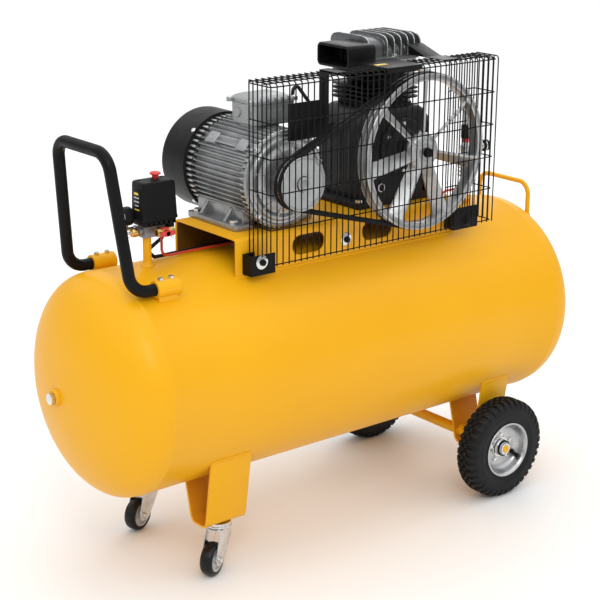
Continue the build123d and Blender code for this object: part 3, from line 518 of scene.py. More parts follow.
def make_tank():
    profile = [(0.0, -HALF - DOME)]
    for k in range(1, 41):
        a = k / 40 * math.pi / 2
        profile.append((TANK_R * math.sin(a), -HALF - DOME * math.cos(a)))
    seam = [(TANK_R + 0.1, -HALF + 3), (TANK_R + 0.9, -HALF + 5), (TANK_R + 1.1, -HALF + 8),
            (TANK_R + 0.9, -HALF + 11), (TANK_R, -HALF + 13)]
    profile += seam
    profile += [(TANK_R, x) for x in (-400.0, -200.0, 0.0)]
    profile += [(r, -x) for r, x in profile[::-1][1:]]
    tank = Piece(YELLOW)
    tank.put(lathe(profile, 160), at(0, 0, TANK_Z, "X"))
    for side, y in ((-1, 28.0), (1, 0.0)):
        ring = [(12.6, -16), (19, -16), (19, 6.6), (18.4, 8), (13.4, 8), (12.6, 7.2)]
        tank.put(lathe(ring, 40, True), at(side * (HALF + DOME), y, TANK_Z - 12, "X" if side > 0 else "-X"))
        bead = [(HALF + DOME - 3.4 - 0.9 * (1 + math.cos(TAU * k / 40)), 20.5, TAU * k / 40)
                for k in range(40)]
        line = [(side * x, y + r * math.cos(a), TANK_Z - 12 + r * math.sin(a)) for x, r, a in bead]
        tank.put(tube(line, 2.6, 8, True))
    tank.put(weld([(x, 236.0, TANK_Z - math.sqrt(TANK_R ** 2 - 236.0 ** 2)) for x in (-582, 582)], 2.2, 3))
    tank.build("tank_skin", "frame", ("tank_barrel", "tank_ends"), 40)


def make_deck():
    x0, x1, half, top, sheet, bend = -324.0, 340.0, 118.0, 757.0, 4.0, 9.0
    low = on_tank(half) - 1.5
    deck = Piece(YELLOW, DECK_SHADE_PAINT)
    plate = box_loop(x1 - x0, 2 * (half - bend), 0, (x0 + x1) / 2, 0)
    deck.put(slab([plate, circle(8, 24, -18, 62)], sheet, 0.5), at(0, 0, top - sheet / 2))
    wall = [(x0, low), (x1, low), (x1, top - bend), (x0, top - bend)]
    slots = [box_loop(94, 46, 22.9, x, 716, 8) for x in (-118.0, 90.0)]
    for side in (-1, 1):
        deck.put(slab([wall, *slots], sheet, 0.5), at(0, side * (half - sheet / 2), 0, "-Y"))
        # thin liners just inside each wall carry painted shade for the channel's shadowed inside
        shade_liner = [(x0 + 3, low), (x1 - 3, low), (x1 - 3, top - bend), (x0 + 3, top - bend)]
        deck.put(slab([shade_liner, *slots], 0.4, 0.05), at(0, side * (half - sheet - 0.25), 0, "-Y"), 1)
        arc = []
        for r in (bend, bend - sheet):
            turn = [(side * (half - bend + r * math.cos(a)), top - bend + r * math.sin(a))
                    for a in np.linspace(0, math.pi / 2, 9)]
            arc += turn if r == bend else turn[::-1]
        deck.put(slab([arc], x1 - x0, 0.3), at((x0 + x1) / 2, 0, 0, "X"))
        deck.put(weld([(x0 + 2, side * (half + 1), on_tank(half + 2) + 0.6),
                       (x1 - 2, side * (half + 1), on_tank(half + 2) + 0.6)], 3.6, 10 + side))
        deck.put(weld([(x0 + 8, side * (half - 6), on_tank(half - 6) + 0.4),
                       (x1 - 8, side * (half - 6), on_tank(half - 6) + 0.4)], 2.8, 20 + side))
    # a thin liner under the top plate carries painted shade
    deck.put(slab([box_loop(x1 - x0 - 6, 2 * (half - bend), 0, (x0 + x1) / 2, 0), circle(9, 24, -18, 62)],
                  0.4, 0.05),
             at(0, 0, top - sheet - 0.25), 1)
    deck.build("deck_channel", "frame", "mounting_deck", 40)


def strip(path, thick, radius, shift=0.0):
    """The outline of a bent strip of sheet, from its middle line, moved sideways by `shift`."""
    line = [Vector((p.x, p.y)) for p in bend_path([(x, y, 0) for x, y in path], radius, 12)]
    left, right_side = [], []
    for i, p in enumerate(line):
        t = (line[min(i + 1, len(line) - 1)] - line[max(i - 1, 0)]).normalized()
        n = Vector((-t.y, t.x))
        left.append(tuple(p + n * (shift + thick / 2)))
        right_side.append(tuple(p + n * (shift - thick / 2)))
    return left + right_side[::-1]


def make_foot(name, node, x0, x1, path, ends):
    foot = Piece(YELLOW, FEET_SHADE_PAINT)
    for side in (-1, 1):
        outline = [(-side * y, z) for y, z in strip(path, 5.0, 16.0)]
        foot.put(slab([outline], x1 - x0, 0.7), at((x0 + x1) / 2, 0, 0, "X"))
        # a thin strip on the inner face carries painted shade
        shade_liner = [(-side * y, z) for y, z in strip(path, 0.4, 16.0, -2.75)]
        foot.put(slab([shade_liner], x1 - x0 - 3, 0.05), at((x0 + x1) / 2, 0, 0, "X"), 1)
        for number, (y, z) in enumerate(ends):
            y *= -side
            foot.put(weld([(x0 + 2, y, z), (x1 - 2, y, z)], 3.4, 30 + number + side))
    foot.build(name, "frame", node, 40)


def make_handles():
    route = [(-490, -128, 686), (-602, -128, 686), (-634, -100, 985), (-634, 100, 985), (-602, 128, 686),
             (-490, 128, 686)]
    line = bend_path(route, [45, 42, 42, 45], 6)
    bar = Piece(BLACK)
    bar.put(tube(line, 13.45, 28))
    bar.build("push_handle_tube", "frame", "push_handle", 50)
    lift = Piece(YELLOW)
    bow = bend_path([(632, -87, 632), (632, -87, 745), (632, 87, 745), (632, 87, 632)], [32, 32], 6)
    lift.put(tube(bow, 6, 20))
    for y in (-87, 87):
        foot = TANK_Z + TANK_R * math.sqrt(max(0, 1 - ((632 - HALF) / DOME) ** 2 - (y / TANK_R) ** 2))
        loop = [(632 + 6.5 * math.cos(a), y + 6.5 * math.sin(a),
                 foot - 2.4 * math.cos(a) - math.sin(a) * y / 45)
                for a in np.linspace(0, TAU, 28, endpoint=False)]
        lift.put(tube(loop, 2.2, 8, True))
    lift.build("lifting_bow", "frame", "lifting_handle", 50)


# ---- running gear -------------------------------------------------------------
AXLE_X, AXLE_Z, WHEEL_Y = 401, 127, 246
CASTER_X, CASTER_Y, CASTER_R, CASTER_TRAIL = -400, 150, 39, 36
LUGS = 38
LUG_TAPER = 0.9


def tread_lug(a0, a1, line, depth):
    """A block of tread that follows a line of (radius, y) points round the shoulder."""
    verts, faces = [], []
    for i, (r, y) in enumerate(line):
        before, after = Vector(line[max(i - 1, 0)]), Vector(line[min(i + 1, len(line) - 1)])
        along = (after - before).normalized()
        normal = Vector((-along.y, along.x))
        if normal.x < 0:
            normal = -normal
        inner = Vector((r, y)) - normal * depth
        ease = LUG_TAPER / r
        for (q, z), (b0, b1) in (((r, y), (a0 + ease, a1 - ease)), ((inner.x, inner.y), (a0, a1))):
            verts += [(q * math.cos(b0), q * math.sin(b0), z), (q * math.cos(b1), q * math.sin(b1), z)]
        if i:
            o, n = 4 * i - 4, 4 * i
            faces += [[o, o + 1, n + 1, n], [o + 1, o + 3, n + 3, n + 1], [o + 3, o + 2, n + 2, n + 3],
                      [o + 2, o, n, n + 2]]
    last = 4 * (len(line) - 1)
    faces += [[0, 2, 3, 1], [last, last + 1, last + 3, last + 2]]
    return verts, faces


def make_tyre(side, name):
    centre = at(AXLE_X, side * WHEEL_Y, AXLE_Z, "Y")
    flank = [(62.2, 24), (63, 26.5), (68, 28.4), (76, 30.2), (86, 31.6), (88, 32.4), (90.5, 32.4),
             (92, 31.9), (100, 32.3), (106, 31.6), (112, 29.6), (117, 26), (120.6, 20), (122.2, 12),
             (122.6, 4)]
    profile = [(r, -z) for r, z in flank] + flank[::-1]
    tyre = Piece(TYRE)
    tyre.put(lathe(profile, 120, True), centre)
    pitch = TAU / LUGS
    shoulder = [(126.9, 9.5), (126.9, 15.5), (124.6, 22), (120.2, 27.4), (114.4, 31.2), (108.5, 32.6)]
    inner = [(126.9, 0.8), (126.9, 7.6)]
    for k in range(LUGS):
        for s in (-1, 1):
            shift = (k + (0.25 if s > 0 else -0.25)) * pitch
            line = [(r, s * z) for r, z in shoulder]
            tyre.put(tread_lug(shift, shift + pitch * 0.60, line, 5.5), centre)
            line = [(r, s * z) for r, z in inner]
            tyre.put(tread_lug(shift + pitch * 0.5, shift + pitch * 1.08, line, 5.0), centre)
    tyre.build(f"{name}_tyre_tread", f"wheel_{name}", f"tyre_{name}", 30)


def make_rim(side, name):
    out = "Y" if side > 0 else "-Y"
    centre = at(AXLE_X, side * WHEEL_Y, AXLE_Z, out)
    rim = Piece(SILVER, ZINC, PLASTIC)
    half = [(62.3, 24), (65.5, 28.6), (69.4, 29.8), (70.2, 31.0), (69.4, 32.2), (66.4, 32), (63.4, 29.5),
            (61.4, 24), (59.0, 14), (55.0, 8), (50, 5.5), (47, 4.0), (44, 3.4), (22, 3.4)]
    rim.put(lathe(half + [(r, -z) for r, z in half[::-1]], 96, True), centre)
    hub = [(10.2, -32), (15.4, -32), (16.6, -30.8), (16.6, -12), (19, -9), (25, -4), (25, 4), (19, 8),
           (16.6, 11), (16.6, 18.8), (15.4, 20), (10.2, 20)]
    rim.put(lathe(hub, 48, True), centre)
    rim.put(lathe([(16.4, 13), (19.4, 13), (20.4, 14), (20.4, 17.4), (19.4, 18.4), (16.4, 18.4)], 48, True),
            centre, 2)
    rim.put(lathe([(20, 3), (27, 3), (27, 5.6), (25.8, 6.6), (20, 6.6)], 48, True), centre, 1)
    for k in range(5):
        a = math.radians(72 * k + 20)
        spot = centre @ at(34 * math.cos(a), 34 * math.sin(a), 3.4, "Z", 20 * k)
        rim.bolt(spot, 10, 4.2, 8.2, 1.4, slot=1)
        spot = centre @ at(34 * math.cos(a), 34 * math.sin(a), -3.4, "-Z")
        rim.bolt(spot, 10, 5, slot=1)
        rim.put(lathe([(0, 0), (3, 0), (3, 7), (2.4, 7.8), (0, 7.8)], 16), spot, 1)
    stem = [(0, 0), (6.6, 0), (6.4, 4), (4.6, 7), (4.2, 15), (5.6, 15.8), (5.6, 25), (4.8, 26.2), (0, 26.2)]
    a = math.radians(-28)
    lean = centre @ at(47 * math.cos(a), 47 * math.sin(a), 4) @ rotation("X", 18)
    rim.put(lathe(stem, 20), lean, 2)
    rim.build(f"{name}_rim_and_hub", f"wheel_{name}", f"rim_{name}", 32)


def make_axle():
    axle = Piece(YELLOW, ZINC)
    axle.put(lathe([(0, -200), (12.7, -200), (13.5, -199), (13.5, 199), (12.7, 200), (0, 200)], 40),
             at(AXLE_X, 0, AXLE_Z, "Y"))
    for side in (-1, 1):
        out = at(AXLE_X, 0, AXLE_Z, "Y" if side > 0 else "-Y")
        axle.put(lathe([(0, 195), (10, 195), (10, 270.4), (8.8, 272), (0, 272)], 36), out)
        axle.put(lathe([(10.05, 266.6), (14.4, 266.6), (15, 267.1), (15, 269.4), (14.4, 270), (10.05, 270)],
                       40, True), out, 1)
        axle.put(tube([(AXLE_X, side * 271.0, AXLE_Z - 12), (AXLE_X, side * 271.0, AXLE_Z + 12)], 0.95, 8),
                 None, 1)
        for y in (199.0 * side - 5, 110.0 * side):
            ring = [(AXLE_X + 15 * math.cos(a), y, AXLE_Z + 15 * math.sin(a))
                    for a in np.linspace(0, TAU, 30, False)]
            axle.put(tube(ring, 1.8, 8, True))
    axle.build("axle_bar", "frame", "axle", 40)


def make_caster(side, name, turned):
    swivel = at(CASTER_X, side * CASTER_Y, 0, "Z", turned)
    fork = Piece(ZINC)
    crown = [(6.1, 105.5), (22, 105.5), (27.0, 107.0), (29.2, 109.4), (28.6, 112), (26.4, 113.7),
             (6.1, 113.7)]
    fork.put(lathe(crown, 56, True), swivel)
    yoke = rounded([(-30, -19.2), (25, -19.2), (25, 19.2), (-30, 19.2)], [9, 9, 9, 9])
    fork.put(slab([yoke, circle(6.1, 20)], 3.4, 0.9), swivel @ at(0, 0, 104.2))
    cheek = rounded([(-29, 105.6), (24.6, 105.6), (23, 80), (-16, 28), (-35, 24.5), (-49.6, 28), (-51, 50),
                     (-38, 84)],
                    [2, 4, 14, 9, 12, 10, 8, 16])
    for s in (-1, 1):
        fork.put(slab([cheek, circle(4.05, 20, -CASTER_TRAIL, CASTER_R)], 2.5, 0.6),
                 swivel @ at(0, s * 18, 0, "-Y"))
    apron = [(23 - 2.4, -17.6), (23, -17.6), (23, 17.6), (23 - 2.4, 17.6)]
    fork.put(slab([rounded(apron, 0.6)], 13, 0.5), swivel @ at(0, 0, 98.5))
    for s in (-1, 1):
        out = swivel @ at(-CASTER_TRAIL, 0, CASTER_R, "Y" if s > 0 else "-Y")
        if s < 0:
            fork.bolt(out @ at(0, 0, 19.3), 12.5, 5.0, 8.0, 1.4)
        else:
            fork.put(lathe([(0, 19.3), (7.2, 19.3), (7.2, 20.8), (6, 23.4), (3, 24.4), (0, 24.4)], 28), out)
    fork.put(lathe([(0, -20), (3.95, -20), (3.95, 20), (0, 20)], 20),
             swivel @ at(-CASTER_TRAIL, 0, CASTER_R, "Y"))
    fork.build(f"{name}_caster_yoke", f"caster_swivel_{name}", f"caster_fork_{name}", 32)
    wheel = Piece(CASTER_RUBBER, PALE, ZINC)
    centre = swivel @ at(-CASTER_TRAIL, 0, CASTER_R, "Y")
    band = [(28.2, -14.6), (31, -15), (34.6, -14), (37.4, -10.8), (38.7, -5.5), (39, 0)]
    band += [(r, -z) for r, z in band[::-1][1:]]
    wheel.put(lathe(band, 72, True), centre)
    core = [(4.06, -14.6), (8.6, -14.6), (9.4, -13.6), (9.6, -8.6), (22.5, -7.4), (24, -8), (25, -13.6),
            (27.4, -14.4), (28.3, -13)]
    core += [(r, -z) for r, z in core[::-1]]
    wheel.put(lathe(core, 56, True), centre, 1)
    wheel.put(lathe([(4.1, -15), (7.2, -15), (7.2, 15), (4.1, 15)], 28, True), centre, 2)
    wheel.build(f"{name}_caster_tread", f"caster_roll_{name}", f"caster_wheel_{name}", 34)


make_tank()
make_deck()
make_foot("caster_foot_strips", "caster_feet", -455, -345,
          [(200.4, 296), (175, 122.5), (122, 122.5), (98.2, 217)], [(201.6, 289.6), (97.0, 211)])
make_foot("wheel_leg_strips", "wheel_legs", 378, 470,
          [(200.4, 296), (172, 104), (112, 104), (86, 211)], [(201.6, 289.6), (84.6, 206)])
make_handles()
for wheel_side, wheel_name in ((-1, "front"), (1, "rear")):
    make_tyre(wheel_side, wheel_name)
    make_rim(wheel_side, wheel_name)
make_axle()
for caster_side, caster_name, turned in ((-1, "front", 28), (1, "rear", 20)):
    make_caster(caster_side, caster_name, turned)


# ---- motor --------------------------------------------------------------------
def stack(levels):
    """Join flat loops of equal length, each (loop, height), into one closed skin."""
    verts, faces = [], []
    for loop, z in levels:
        verts.extend((x, y, z) for x, y in loop)
    count = len(levels[0][0])
    for i in range(len(levels) - 1):
        for j in range(count):
            k = (j + 1) % count
            faces.append([i * count + j, i * count + k, (i + 1) * count + k, (i + 1) * count + j])
    faces.append(list(range(count))[::-1])
    faces.append([(len(levels) - 1) * count + j for j in range(count)])
    return verts, faces


MOTOR = (-176.0, 871.0)


def make_motor():
    x, z = MOTOR
    axis = at(x, 0, z, "Y")
    body = Piece(MOTOR_GREY, ZINC)
    body.put(lathe([(92.2, -88), (102.5, -88), (103.5, -86), (103.5, 96), (102.5, 98), (92.2, 98)], 96,
                   True), axis)
    reach, root = 112.6, 100.0
    for k in range(-6, 7):
        off = 12.0 * k
        if abs(off) > 76:
            continue
        inner, outer = math.sqrt(root ** 2 - off ** 2), math.sqrt(reach ** 2 - (abs(off) + 2) ** 2)
        fin = rounded([(inner, off - 2.6), (outer, off - 1.6), (outer, off + 1.6), (inner, off + 2.6)],
                      [0, 1.4, 1.4, 0], 3)
        for spin in (0, 90, 180, 270):
            a = math.radians(spin)
            turned = [(p * math.cos(a) - q * math.sin(a), p * math.sin(a) + q * math.cos(a))
                      for p, q in fin]
            body.put(slab([turned], 184, 0.5), at(x, 5, z, "-Y"))
    for spin in (45, 135, 225, -45):
        for y in (-52, 62):
            a = math.radians(spin)
            out = at(x, y, z) @ Matrix.Rotation(-a + math.pi / 2, 4, "Y")
            pad = slab([box_loop(30, 36, 5)], 17, 1.2)
            body.put(pad, out @ at(0, 0, 103.6))
            body.put(lathe([(0, 111), (7.5, 111), (7.2, 112.4), (3.6, 112.6), (3.4, 111.2), (0, 111.2)],
                           20), out)
    for side in (-1, 1):
        inner, web, edge = x + side * 56, x + side * 86, x + side * 112
        body.put(block(min(inner, edge), max(inner, edge), -68, 122, 757.2, 771, 1.6, 9))
        body.put(block(min(inner, web), max(inner, web), -60, 114, 765, 806, 1.6, 3))
        for y in (-43, 97):
            body.put(lathe([(6.4, 770), (14.5, 770), (14, 772.2), (6.4, 772.2)], 32, True),
                     at(x + side * 99, y, 0))
            foot = rounded([(0, 771), (26, 771), (0, 806)], [0, 2, 2], 3)
            body.put(slab([[(web + side * (p - 2), q) for p, q in foot]], 9, 0.8),
                     at(0, y - (24 if y > 0 else -24), 0, "-Y"))
    body.build("motor_finned_body", "frame", "motor_housing", 30)

    nose = Piece(BELL_CAST, ZINC, SHADE_BLACK)
    front = [(18.5, -92), (18.5, -110), (22, -122), (24, -123), (30, -123), (33.5, -120.5), (35, -114.5),
             (52, -113.4), (64, -112), (70, -109.2), (74, -106.2), (78, -105.2), (84, -107.6), (88, -108.4),
             (92, -107.6), (96, -103.8), (101, -102.8), (105, -104.2), (109.4, -102), (111, -98.6),
             (108, -97), (106, -94), (106, -90), (104, -88), (92.3, -88), (92.3, -85), (85, -85), (85, -92)]
    nose.put(lathe(front, 96, True), axis)
    for k in range(12):
        a = 30 * k + 15
        rib = rounded([(36, 0), (92, 0), (92, 2.6), (66, 8.5), (40, 10.5), (36, 9)], [0, 0, 1, 1, 1, 1], 2)
        nose.put(slab([rib], 3.2, 0.7),
                 at(x, -104.6, z) @ rotation("Y", a) @ Matrix.Rotation(math.pi, 4, "Z"))
    for k in range(4):
        a = math.radians(45 + 90 * k)
        spot = at(x + 104 * math.cos(a), -101.5, z + 104 * math.sin(a), "-Y")
        nose.put(lathe([(0, -12), (9.5, -12), (9.5, 0), (8.4, 1.4), (0, 1.4)], 28), spot)
        nose.bolt(spot @ at(0, 0, 1.2), 10, 4.4, 7.4, 1.2, slot=1)
    # the tail bell is near-black painted shade; the notch blocks round it stay aluminium
    tail = [(18.5, 101), (18.5, 116), (40, 116), (102, 120), (104, 131), (116.2, 131), (116.2, 125.4),
            (106, 124.4), (104, 102), (102, 98.2), (92.3, 98.2), (92.3, 95), (85, 95), (85, 101)]
    nose.put(lathe(tail, 96, True), axis, 2)
    for k in range(52):
        a = TAU * k / 52
        for y, out, high, long in ((110.6, 108.2, 9.8, 21.0), (-94.0, 110.6, 5.6, 13.0)):
            spot = at(x + out * math.cos(a), y, z + out * math.sin(a)) @ Matrix.Rotation(-a, 4, "Y")
            nose.put(slab([box_loop(high, 5.0, 0.6)], long, 0.5), spot @ at(0, 0, 0, "Y"))
    nose.build("motor_end_bells", "frame", "motor_shields", 30)

    cover = Piece(PLASTIC, ZINC)
    drum = [(116.6, 124.2), (118, 124.2), (118, 206), (116.8, 213), (113.6, 218.6), (108, 221.4),
            (104, 222), (102, 222), (102, 219.4), (107.4, 218.8), (112, 216.2), (114.8, 212),
            (116.2, 205.5)]
    cover.put(lathe(drum, 120, True), axis)
    for r in range(28, 104, 9):
        cover.put(lathe([(r - 2.3, 219.4), (r + 2.3, 219.4), (r + 2.3, 221), (r + 1.6, 222), (r - 1.6, 222),
                         (r - 2.3, 221)], 96, True), axis)
    cover.put(lathe([(0, 219), (24, 219), (24, 221), (22.6, 222), (0, 222)], 48), axis)
    for k in range(8):
        a = math.radians(45 * k + 22.5)
        spot = at(x + 63 * math.cos(a), 220.2, z + 63 * math.sin(a)) @ Matrix.Rotation(-a, 4, "Y")
        cover.put(slab([box_loop(84, 5, 1)], 3.2, 0.7), spot @ at(0, 0, 0, "Y"))
    for k in range(4):
        a = math.radians(45 + 90 * k)
        out = at(x, 131, z) @ Matrix.Rotation(-a + math.pi / 2, 4, "Y")
        cover.put(lathe([(0, 116), (5.6, 116), (5.6, 118.6), (4.4, 120), (0, 120)], 20), out, 1)
    cover.build("motor_fan_shroud", "frame", "motor_fan_cover", 32)

    fan = Piece(PLASTIC)
    fan.put(lathe([(14.1, 140), (70, 140), (70, 143), (31, 144), (29.5, 190), (14.1, 190)], 64, True), axis)
    for k in range(8):
        blade = rounded([(26, 142), (100, 142), (104, 148), (104, 182), (98, 185), (26, 185)],
                        [0, 3, 3, 4, 4, 0], 3)
        spot = at(x, 0, z) @ rotation("Y", 45 * k)
        fan.put(slab([blade], 3, 0.8), spot)
    fan.build("motor_cooling_fan", "motor", "motor_fan", 32)


def make_terminal_box():
    box = Piece(PLASTIC_GREY, ZINC, PLASTIC)
    neck, middle = at(-177, -11, 0), at(-169, -11, 0)
    box.put(stack([(box_loop(68, 68, 8), 964), (box_loop(68, 68, 8), 986)]), neck)
    levels = [(98, 80, 7, 984.4), (106, 88, 9, 987.5), (109, 91, 10, 1000), (110, 92, 10, 1032.4),
              (108, 90, 9, 1033.6)]
    box.put(stack([(box_loop(w, h, r), z) for w, h, r, z in levels]), middle)
    for y in (-32, 8):
        box.put(lathe([(0, -2), (9, -2), (9, 1), (11, 1.6), (11, 6), (9.6, 7.4), (0, 7.4)], 30),
                at(-220, y, 1010, "-X"))
    box.put(slab([box_loop(46, 22, 3)], 1.4, 0.5), at(-169, -57, 1008, "-Y"))
    box.build("terminal_housing", "frame", "terminal_box", 34)
    lid = Piece(PLASTIC_GREY, ZINC)
    levels = [(113, 95, 9, 1033.8), (116, 98, 10, 1035.2), (116, 98, 10, 1040), (114, 96, 10, 1042.4),
              (106, 88, 12, 1045.6), (94, 77, 14, 1049.2), (80, 64, 14, 1051.2), (64, 48, 12, 1052)]
    lid.put(stack([(box_loop(w, h, r), z) for w, h, r, z in levels]), middle)
    for sx, sy in CORNERS:
        spot = middle @ at(sx * 62, sy * 38, 1034)
        lid.put(lathe([(0, 0), (7.6, 0), (8, 0.6), (8, 7.4), (7, 8.8), (0, 8.8)], 28), spot)
        lid.put(block(-8 if sx > 0 else 0, 0 if sx > 0 else 8, -6.5, 6.5, 0.4, 7.6, 0.8), spot)
        lid.put(lathe([(0, 8), (4.2, 8), (4.2, 9.6), (3.4, 10.6), (0, 10.6)], 20), spot, 1)
    for k in range(5):
        for sy in (-1, 1):
            lid.put(block(-38 + 19 * k - 2, -38 + 19 * k + 2, sy * 44 - 5, sy * 44 + 5, 1036, 1046, 1.4),
                    middle)
    lid.build("terminal_domed_lid", "frame", "terminal_lid", 34)


# ---- drive --------------------------------------------------------------------
CRANK = (190.0, 896.0)
BELT_Y = -156.0
COG_PITCH = 9.0
BLADES = 7


def v_rim(radius, inner, depth):
    """The cross-section of a rim with two V grooves, as (radius, distance from the middle plane)."""
    line = [(inner, -16), (radius - 1, -16), (radius, -15)]
    for s in (-7.5, 7.5):
        line += [(radius, s - 6.2), (radius - depth, s - 3.4), (radius - depth, s + 3.4), (radius, s + 6.2)]
    return line + [(radius, 15), (radius - 1, 16), (inner, 16)]


def make_drive():
    x, z = MOTOR
    axis = at(x, BELT_Y, z, "Y")
    pulley = Piece(IRON_GREY, STEEL, BLACK)
    web = [(60, 16), (58.5, 13), (46, 12), (14.1, 12), (14.1, -13.4), (18, -13.4), (19, -12.6), (57, -12.6),
           (59, -16)]
    pulley.put(lathe(v_rim(61.6, 52, 11.4)[1:-1] + web, 96, True), axis)
    for k in range(3):
        a = math.radians(90 + 120 * k)
        hole = at(x + 38 * math.cos(a), BELT_Y - 12.6, z + 38 * math.sin(a), "-Y")
        pulley.put(lathe([(4.6, -0.8), (7.4, -0.8), (7.4, 0.5), (6.8, 1.0), (5.2, 1.0), (4.6, 0.5)], 24,
                         True), hole)
    face = at(x, BELT_Y - 16, z, "-Y")
    pulley.put(lathe([(0, 0.1), (15.4, 0.1), (16, 0.6), (16, 1.6), (15.4, 2.1), (0, 2.1)], 40), face)
    pulley.bolt(face @ at(0, 0, 1.9), 19, 3.6, slot=1)
    pulley.put(lathe([(16.2, -2.4), (18.0, -2.4), (18.0, -3.0), (16.2, -3.0)], 48, True), face, 2)
    pulley.build("motor_v_pulley", "motor", "motor_pulley", 30)

    cx, cz = CRANK
    gap = math.hypot(cx - x, cz - z)
    tilt = math.atan2(cz - z, cx - x)
    low_small, low_large = 59.6, 181.6
    lean = math.acos((low_small - low_large) / gap)
    belts = Piece(BELT)
    sideways = Vector((0, 1, 0))
    middle = Vector(((x + cx) / 2, BELT_Y, (z + cz) / 2))
    line = []
    for k in range(25):
        a = tilt + lean + (TAU - 2 * lean) * k / 24
        line.append((x + low_small * math.cos(a), z + low_small * math.sin(a)))
    for k in range(61):
        a = tilt - lean + 2 * lean * k / 60
        line.append((cx + low_large * math.cos(a), cz + low_large * math.sin(a)))
    line = line[::-1]
    dense = []
    for a, b in zip(line, line[1:] + line[:1]):
        a, b = Vector(a), Vector(b)
        steps = max(1, round((b - a).length / 16))
        dense += [a.lerp(b, k / steps) for k in range(steps)]
    for s in (-7.5, 7.5):
        path = [(p.x, BELT_Y + s, p.y) for p in dense]
        start = next(i for i, p in enumerate(path) if p[2] > cz and 0 < p[0] < 60)
        path = path[start:] + path[:start]
        belts.put(sweep(path, rounded([(-4, -3.2), (-1, -3.4), (4, -4.9), (4, 4.9), (-1, 3.4), (-4, 3.2)],
                                      [0.4, 0, 0.6, 0.6, 0, 0.4], 2), True))
        total, walked, want = len(path), 0.0, 0.0
        for i in range(total):
            a, b = Vector(path[i]), Vector(path[(i + 1) % total])
            run = (b - a).length
            while want < walked + run:
                p = a.lerp(b, (want - walked) / run)
                t = (b - a).normalized()
                normal = t.cross(sideways)
                want += COG_PITCH
                spot = Matrix.Translation(p) @ Matrix((t, sideways, normal)).transposed().to_4x4()
                sign = 1 if normal.dot(middle - p) > 0 else -1
                belts.put(slab([box_loop(4.2, 6.2, 0.8, steps=2)], 3.4, 0.5), spot @ at(0, 0, sign * 4.6))
            walked += run
    belts.build("cogged_v_belts", "frame", "drive_belts", 34)

    axis = at(cx, BELT_Y, cz, "Y")
    wheel = Piece(CAST, STEEL, BLACK)
    rim = v_rim(184.8, 168, 12.6)
    rim = rim[1:-1] + [(171, 16), (168.6, 15), (167.2, 11), (166.6, 0), (167.2, -11), (168.6, -15),
                       (171, -16), (172.8, -15.8), (174.0, -13.3), (179.6, -13.3), (180.8, -15.8),
                       (182, -16)]
    wheel.put(lathe(rim, 160, True), axis)
    hub = [(15.1, -15.6), (25, -15.6), (30, -14.8), (38, -11.8), (43, -7), (45, 0), (44, 8), (39, 15),
           (33, 19.2), (15.1, 19.6)]
    wheel.put(lathe(hub, 64, True), axis)
    for k in range(BLADES):
        radii = np.linspace(30, 170, 17)
        u = (radii - 30) / 140
        width = 1.0 + 0.24 * u + 0.22 * np.clip((0.16 - u) / 0.16, 0,
                                                1) ** 2 + 0.16 * np.clip((u - 0.88) / 0.12, 0, 1) ** 2
        twist = -np.radians(34 + 12 * u)
        path = [(0, 0, r) for r in radii]
        section = rounded([(-16.5, -1.7), (-13, -3.0), (13, -3.0), (16.5, -1.7), (16.5, 1.7), (13, 3.0),
                           (-13, 3.0), (-16.5, 1.7)], 1.2, 2)
        spot = at(cx, BELT_Y, cz) @ rotation("Y", 360 / BLADES * k + 3)
        wheel.put(sweep(path, section, False, width, twist), spot)
    nose = at(cx, BELT_Y - 15.4, cz, "-Y")
    wheel.put(lathe([(0, 0), (20.4, 0), (21, 0.6), (21, 2.4), (20.2, 3.2), (0, 3.2)], 48), nose, 1)
    wheel.bolt(nose @ at(0, 0, 3.1), 19, 8.8, 12, 1.4, slot=2)
    wheel.put(lathe([(174.3, -13.9), (179.3, -13.9), (179.3, -13.2), (174.3, -13.2)], 160, True), axis, 1)
    for k in range(BLADES):
        a = math.radians(360 / BLADES * k + 28)
        pit = at(cx + 33 * math.cos(a), BELT_Y - 13.2, cz + 33 * math.sin(a), "-Y")
        wheel.put(lathe([(2.6, -1), (4.6, -1), (4.6, 0.6), (4, 1.2), (3.1, 1.2), (2.6, 0.6)], 20, True),
                  pit)
    wheel.build("bladed_flywheel", "crank", "flywheel", 34)


